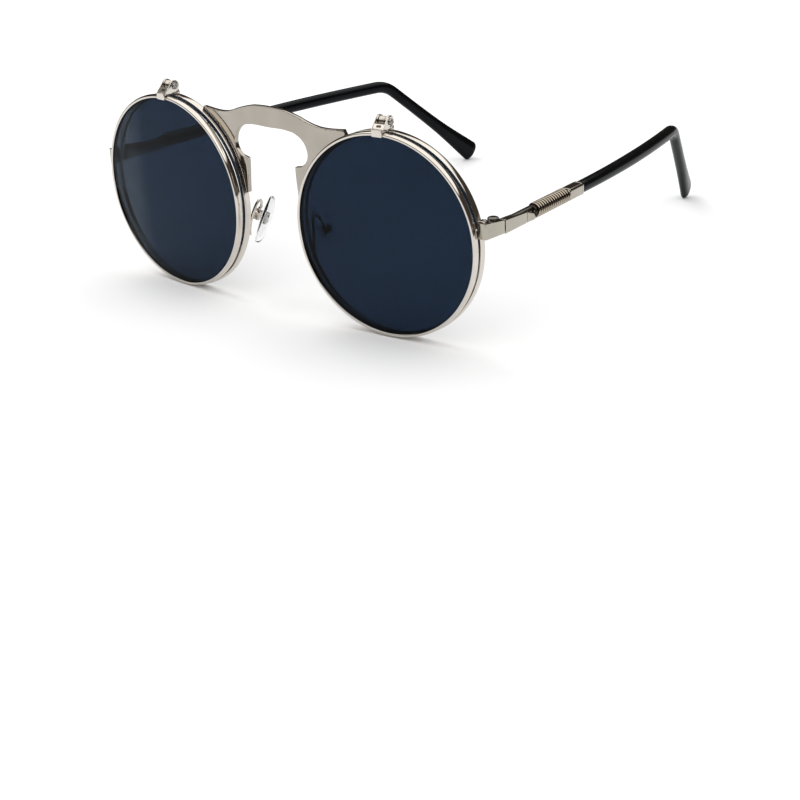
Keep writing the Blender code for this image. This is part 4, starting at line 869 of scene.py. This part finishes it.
def make_tip(side):
    span = BEND - TIP_START
    route = []
    for step in range(TIP_STEPS + 1):
        along = TIP_START + (BEND - BEND_R / 2 - TIP_START) * step / TIP_STEPS
        share = (along - TIP_START) / span
        route.append(temple_point(side, BAR_X - TIP_SHIFT * share ** 2, along))
    bend = temple_point(side, BAR_X - TIP_SHIFT, BEND)
    fall = math.asin((RIM_R + LEVEL + bend.z - PADDLE_LIFT) / (EAR - PADDLE_CAP))
    lean = math.atan2(2 * TIP_SHIFT, span) + EAR_LEAN
    direction = Vector((-side * math.sin(lean) * math.cos(fall), math.cos(lean) * math.cos(fall),
                        -math.sin(fall)))
    before = (route[-1] - route[-2]).normalized()
    corner_in, corner_out = bend - before * BEND_R / 2, bend + direction * BEND_R / 2
    arc = []
    for step in range(1, 14):
        t = step / 14
        arc.append(corner_in * (1 - t) ** 2 + bend * 2 * t * (1 - t) + corner_out * t ** 2)
    places = route + arc + [corner_out]
    rings = []
    for inset, back in ((0.34, 0.0), (0.12, 0.06), (0.02, 0.2)):
        place = temple_point(side, BAR_X, TIP_START + back)
        rings.append(tip_ring(place, Vector((0, 1, -DROP)), TIP_R - inset, TIP_R - inset))
    for index, place in enumerate(places):
        if index == 0:
            continue
        ahead, behind = places[min(index + 1, len(places) - 1)], places[index - 1]
        grow = min(2 * index / TIP_STEPS, 1.0)
        turn = max(index - TIP_STEPS, 0) / (len(places) - TIP_STEPS - 1)
        high = TIP_R + 0.16 * grow
        wide = TIP_R + 0.04 * grow
        high += (EAR_HIGH - high) * turn
        wide += (EAR_WIDE - wide) * turn
        tangent = direction if index == len(places) - 1 else (ahead - behind).normalized()
        rings.append(tip_ring(place, tangent, wide, high))
    end = bend + direction * EAR
    start = BEND_R / 2 / EAR
    flares = smooth_route([(0.0, 0.0, 0.0), (0.12, 0.0, 0.0), (0.3, 0.03, 0.0), (0.48, 0.12, 0.0),
                           (0.62, 0.28, 0.0), (0.76, 0.56, 0.0), (0.88, 0.84, 0.0), (0.955, 1.0, 0.0)], 4)[1:-1]
    for point in flares:
        high = EAR_HIGH + (PADDLE_HIGH - EAR_HIGH) * point.y
        wide = EAR_WIDE + (PADDLE_WIDE - EAR_WIDE) * point.y
        place = bend.lerp(end, start + (1 - start) * point.x)
        rings.append(tip_ring(place, direction, wide, high, side * EAR_ROLL * min(2 * point.x, 1.0)))
    for step in range(15):
        angle = math.pi / 2 * step / 14.15
        place = end + direction * (PADDLE_CAP * math.sin(angle) - PADDLE_CAP)
        shrink = math.cos(angle)
        rings.append(tip_ring(place, direction, PADDLE_WIDE * shrink ** 0.6, PADDLE_HIGH * shrink ** 0.66,
                              side * EAR_ROLL))
    return loft(rings)


def tip_ring(place, tangent, wide, high, roll=0.0):
    level = tangent.cross(Vector((0.0, 0.0, 1.0))).normalized()
    upright = level.cross(tangent).normalized()
    across = level * math.cos(roll) + upright * math.sin(roll)
    up = upright * math.cos(roll) - level * math.sin(roll)
    return section(place, across, up, wide, high, 0.1, 40)


# Nose pads

PAD_SCREW = 2.6
PAD_ABOVE, PAD_BELOW, PAD_WIDE, PAD_THICK = 6.6, 7.8, 3.7, 1.25
ARM_WIRE, ARM_FOOT = 0.4, 8.1
PAD_BOX_HALF = 1.1


def make_pad(side):
    shape = bmesh.new()
    bmesh.ops.create_uvsphere(shape, u_segments=56, v_segments=36, radius=1.0)
    for vert in shape.verts:
        across, back, up = vert.co
        length = PAD_ABOVE if up > 0 else PAD_BELOW
        width = PAD_WIDE * (1 - 0.22 * (up + 1) / 2)
        dish = 0.5 * (back ** 2 + up ** 2)
        flat = math.copysign(abs(across) ** 0.62, across)
        vert.co = (side * (flat * PAD_THICK + dish), back * width, up * length)
    pad = from_bmesh("pad", shape)
    post = bevel(box((side * 1.0, -0.55, -0.7), (side * 3.15, 0.55, 0.7)), 0.15, 3)
    join(pad, post)
    return cut(pad, rod(SMALL_BORE, (side * PAD_SCREW, -3, 0), (side * PAD_SCREW, 3, 0), 32))


def make_pad_core(side):
    """The small stiff insert that shows inside the soft pad."""
    core = bevel(box((side * 0.2, -0.75, -1.5), (side * 0.7, 0.75, 1.5)), 0.2, 4)
    return cut(core, bevel(box((side * -1, -0.35, 0.5), (side * 2, 0.35, 1.1)), 0.1, 2))


def make_pad_box(side):
    shell = bevel(box((side * 1.7, -1.15, -PAD_BOX_HALF), (side * 3.95, 1.15, PAD_BOX_HALF)), 0.15, 3)
    slot = box((side * 0.5, -0.7, -2.5), (side * 3.5, 0.7, 2.5))
    return cut(shell, slot, rod(SMALL_BORE, (side * PAD_SCREW, -3, 0), (side * PAD_SCREW, 3, 0), 32))


ARM_ROUTE = ((0.0, 0.0, 0.0), (-0.02, 0.0, 0.3), (-0.08, 0.1, 0.7), (-0.18, 0.25, 1.13),
             (-0.27, 0.45, 1.47), (-0.34, 0.66, 1.64), (-0.33, 0.86, 1.5), (-0.18, 1.0, 1.24))


def make_pad_arm(side):
    across = math.sqrt((RIM_R - RIM_FACE / 2) ** 2 - ARM_FOOT ** 2)
    back = MAIN_DEPTH / 2 + SOLDER + ARM_WIRE
    foot = at_side(side, -across * math.cos(WRAP) - back * math.sin(WRAP),
                   -across * math.sin(WRAP) + back * math.cos(WRAP), -ARM_FOOT)
    matrix = pad_frame(side)
    top = matrix @ Vector((side * PAD_SCREW, 0.0, PAD_BOX_HALF + SOLDER))
    up = (matrix.to_3x3() @ Vector((0.0, 0.0, 1.0))).normalized()
    span = top - foot
    route = [foot + Vector((side * x * span.z, y * span.y, z * span.z)) for x, y, z in ARM_ROUTE]
    route = smooth_route(route + [top + up * 0.8, top], 8)
    return tube(route, ARM_WIRE, 6)


# Assembly

def dress(word, side):
    front, temple, flip, pad = "front", f"{word}_temple", f"{word}_flip", f"{word}_pad"
    plane, axis, tilt, centre = lens_plane(side), flip_axis(side), flip_tilt(side), flip_centre(side)

    def put(item, name, matrix, material, body, nodes=None, sharp=40.0):
        nodes = [f"{word}_{node}" for node in (nodes if nodes is not None else [name])]
        return lay(item, f"{word}_{name}_shown", matrix, material, body, nodes, sharp)

    split = RIM_SPLIT / 2
    lock_split = ((side * (RIM_IN - 1), -3, LEVEL - split), (side * (RIM_R + 1), 3, LEVEL + split))
    put(make_rim(MAIN_DEPTH, 0.03, 0.45, lock_split), "main_rim", plane, NICKEL, front)
    put(make_lens(), "clear_lens", plane, CLEAR, front)
    put(make_flip_base(), "flip_base", plane, NICKEL, front)
    put(make_flip_pin(), "flip_pin", axis, STEEL, front)
    put(make_flip_spring(), "flip_spring", axis, NICKEL, front)
    put(make_flip_bracket(), "flip_bracket", tilt, NICKEL, flip)
    notch = ((-split, -3, RIM_IN - 1), (split, 3, RIM_R + 1))
    put(make_rim(FLIP_DEPTH, 0.16, 0.0, notch), "flip_rim", centre, NICKEL, flip)
    put(make_lens(), "tinted_lens", centre, TINT, flip)

    put(make_lock(side, True), "lock_upper", IDENTITY, NICKEL, front)
    put(make_lock(side, False), "lock_lower", IDENTITY, NICKEL, front)
    screw = screw_head(0.5, 0.3, 0.16, 0.3, 4.0)
    top = at_side(side, LOCK_X, LOCK_FRONT + LOCK_DEPTH / 2, LEVEL + LOCK_HIGH / 2 + SOLDER)
    put(screw, "lock_screw", Matrix.Translation(top) @ Matrix.Rotation(0.6, 4, "Z"), STEEL, front)
    put(make_end_piece(side), "end_piece", IDENTITY, TEMPLE_PAINTED_SHADE, front)
    screw = knurled_head(1.4, 0.7, 0.3, 0.5, 3.3)
    place = Matrix.Translation(pivot(side, KNUCKLES[2][1] + 0.1))
    put(screw, "hinge_screw", place @ Matrix.Rotation(0.9, 4, "Z"), DARK, front, sharp=25.0)

    hinge = temple_frame(side)
    put(make_temple_bar(side), "temple_bar", hinge, TEMPLE_PAINTED_SHADE, temple, sharp=24.0)
    # Painted shade: the bar rod and the coil core below are extra near-black pieces
    put(make_bar_rod(side), "bar_rod", hinge, DARK, temple, nodes=[])
    put(make_coil(side), "temple_coil", hinge, WIRE_PAINTED_SHADE, temple)
    put(make_coil_core(side), "coil_core", hinge, SHADE, temple, nodes=[])
    put(make_ferrule(side), "ferrule", hinge, TEMPLE_PAINTED_SHADE, temple)
    put(make_tip(side), "temple_tip", hinge, BLACK, temple, sharp=60.0)

    rock = pad_frame(side)
    put(make_pad(side), "nose_pad", rock, SILICONE, pad, sharp=60.0)
    put(make_pad_core(side), "pad_core", rock, STEEL, pad, nodes=[])
    put(make_pad_box(side), "pad_box", rock, NICKEL, front)
    screw = screw_head(0.6, 0.3, 0.16, 0.3, 2.3)
    turn = Matrix.Translation((side * PAD_SCREW, 1.17, 0.0)) @ Matrix.Rotation(-math.pi / 2, 4, "X")
    put(screw, "pad_screw", rock @ turn, STEEL, front)
    put(make_pad_arm(side), "pad_arm", IDENTITY, NICKEL, front)


lay(make_bridge(), "bridge_plate_shown", IDENTITY, PLATE_PAINTED_SHADE, "front", ["bridge_plate"])
dress("left", 1)
dress("right", -1)


# Camera at the photograph's angle, with its place in the camera's own axes, in millimetres

SHIFT_RIGHT, SHIFT_UP, DISTANCE = 28.3, -24.06, 447.4
azimuth, elevation, roll = math.radians(39.53), math.radians(23.9), math.radians(-2.6)
back = Vector((math.sin(azimuth) * math.cos(elevation), -math.cos(azimuth) * math.cos(elevation),
               math.sin(elevation)))
level = Vector((0, 0, 1)).cross(back).normalized()
upward = back.cross(level)
right = level * math.cos(roll) + upward * math.sin(roll)
up = upward * math.cos(roll) - level * math.sin(roll)
camera = bpy.data.objects.new("camera", bpy.data.cameras.new("camera"))
bpy.context.scene.collection.objects.link(camera)
turn = Matrix((right, up, back)).transposed().to_4x4()
place = (SHIFT_RIGHT * right + SHIFT_UP * up + DISTANCE * back + Vector((0.0, SETBACK, 0.0))) / 1000
camera.matrix_world = Matrix.Translation(place) @ turn
camera.data.sensor_width = 36.0
camera.data.lens = 78.75
camera.data.clip_start, camera.data.clip_end = 0.01, 50.0
bpy.context.scene.camera = camera


# Floor

shape = bmesh.new()
bmesh.ops.create_grid(shape, x_segments=8, y_segments=8, size=6.0)
floor = from_bmesh("floor", shape)
floor.location.z = -0.00002
s = Shader("white_paper")
s.put(Roughness=0.9)
grain = s.spread(s.noise(30.0, 3.0), 0.0, 1.0)
paper = s.mix(grain, (0.86, 0.86, 0.86), (0.875, 0.875, 0.872))
path = s.node("ShaderNodeLightPath")
reach = s.node("ShaderNodeVectorMath", operation="LENGTH")
s.link(s.coords, reach.inputs[0])
# Painted reflection: seen only in gloss, the floor turns dark beyond about 0.35 m, a dark surround for the metal to
# mirror
painted_dark_reflection = s.mix(s.spread(reach.outputs["Value"], 0.0, 1.0, 0.28, 0.42), paper, (0.05, 0.045, 0.04))
paper = s.mix(path.outputs["Is Glossy Ray"], paper, painted_dark_reflection)
s.link(s.mix(path.outputs["Is Camera Ray"], paper, (1.0, 1.0, 1.0)), s.main.inputs["Base Color"])
s.main.inputs["Specular IOR Level"].default_value = 0.0
floor.data.materials.append(s.material)


# Studio: soft light from above; in gloss, a pale floor and a white screen overhead with a dark room between

world = bpy.data.worlds.new("studio")
bpy.context.scene.world = world
world.use_nodes = True
tree = world.node_tree
background = tree.nodes["Background"]
aim = tree.nodes.new("ShaderNodeVectorMath")
aim.operation = "NORMALIZE"
tree.links.new(tree.nodes.new("ShaderNodeTexCoord").outputs["Generated"], aim.inputs[0])


def world_mix(factor, first, second):
    made = tree.nodes.new("ShaderNodeMix")
    made.data_type = "RGBA"
    tree.links.new(factor, made.inputs["Factor"])
    for socket, value in ((made.inputs[6], first), (made.inputs[7], second)):
        if isinstance(value, tuple):
            socket.default_value = (*value, 1.0)
        else:
            tree.links.new(value, socket)
    return made.outputs[2]


def screen(direction, inner, outer):
    """One within the inner angle of a direction, falling to zero at the outer angle."""
    dot = tree.nodes.new("ShaderNodeVectorMath")
    dot.operation = "DOT_PRODUCT"
    tree.links.new(aim.outputs["Vector"], dot.inputs[0])
    dot.inputs[1].default_value = Vector(direction).normalized()
    fall = tree.nodes.new("ShaderNodeMapRange")
    fall.interpolation_type = "SMOOTHSTEP"
    tree.links.new(dot.outputs["Value"], fall.inputs["Value"])
    fall.inputs["From Min"].default_value = math.cos(math.radians(outer))
    fall.inputs["From Max"].default_value = math.cos(math.radians(inner))
    return fall.outputs["Result"]


room = (0.05, 0.041, 0.033)
gloss = world_mix(screen((0.0, 0.0, -1.0), 84.0, 94.0), room, (0.9, 0.88, 0.86))
gloss = world_mix(screen((0.0, 0.0, 1.0), 54.0, 60.0), gloss, (1.35, 1.33, 1.29))
path = tree.nodes.new("ShaderNodeLightPath")
soft = world_mix(screen((0.0, 0.0, 1.0), 35.0, 92.0), (0.4, 0.4, 0.4), (1.15, 1.15, 1.15))
even = world_mix(path.outputs["Is Glossy Ray"], soft, gloss)
tree.links.new(world_mix(path.outputs["Is Camera Ray"], even, (1.0, 1.0, 1.0)), background.inputs["Color"])
background.inputs["Strength"].default_value = 1.0

lamp = bpy.data.objects.new("softbox", bpy.data.lights.new("softbox", "AREA"))
bpy.context.scene.collection.objects.link(lamp)
lamp.data.shape = "RECTANGLE"
lamp.data.size, lamp.data.size_y = 0.5, 0.5
lamp.data.energy = 1.5
lamp.location = (-0.5, 0.05, 0.74)
lamp.rotation_mode = "QUATERNION"
lamp.rotation_quaternion = (lamp.location - Vector((0, 0, 0.02))).to_track_quat("Z", "Y")
lamp.visible_glossy = lamp.visible_transmission = False

bpy.context.scene.view_settings.view_transform = "Standard"
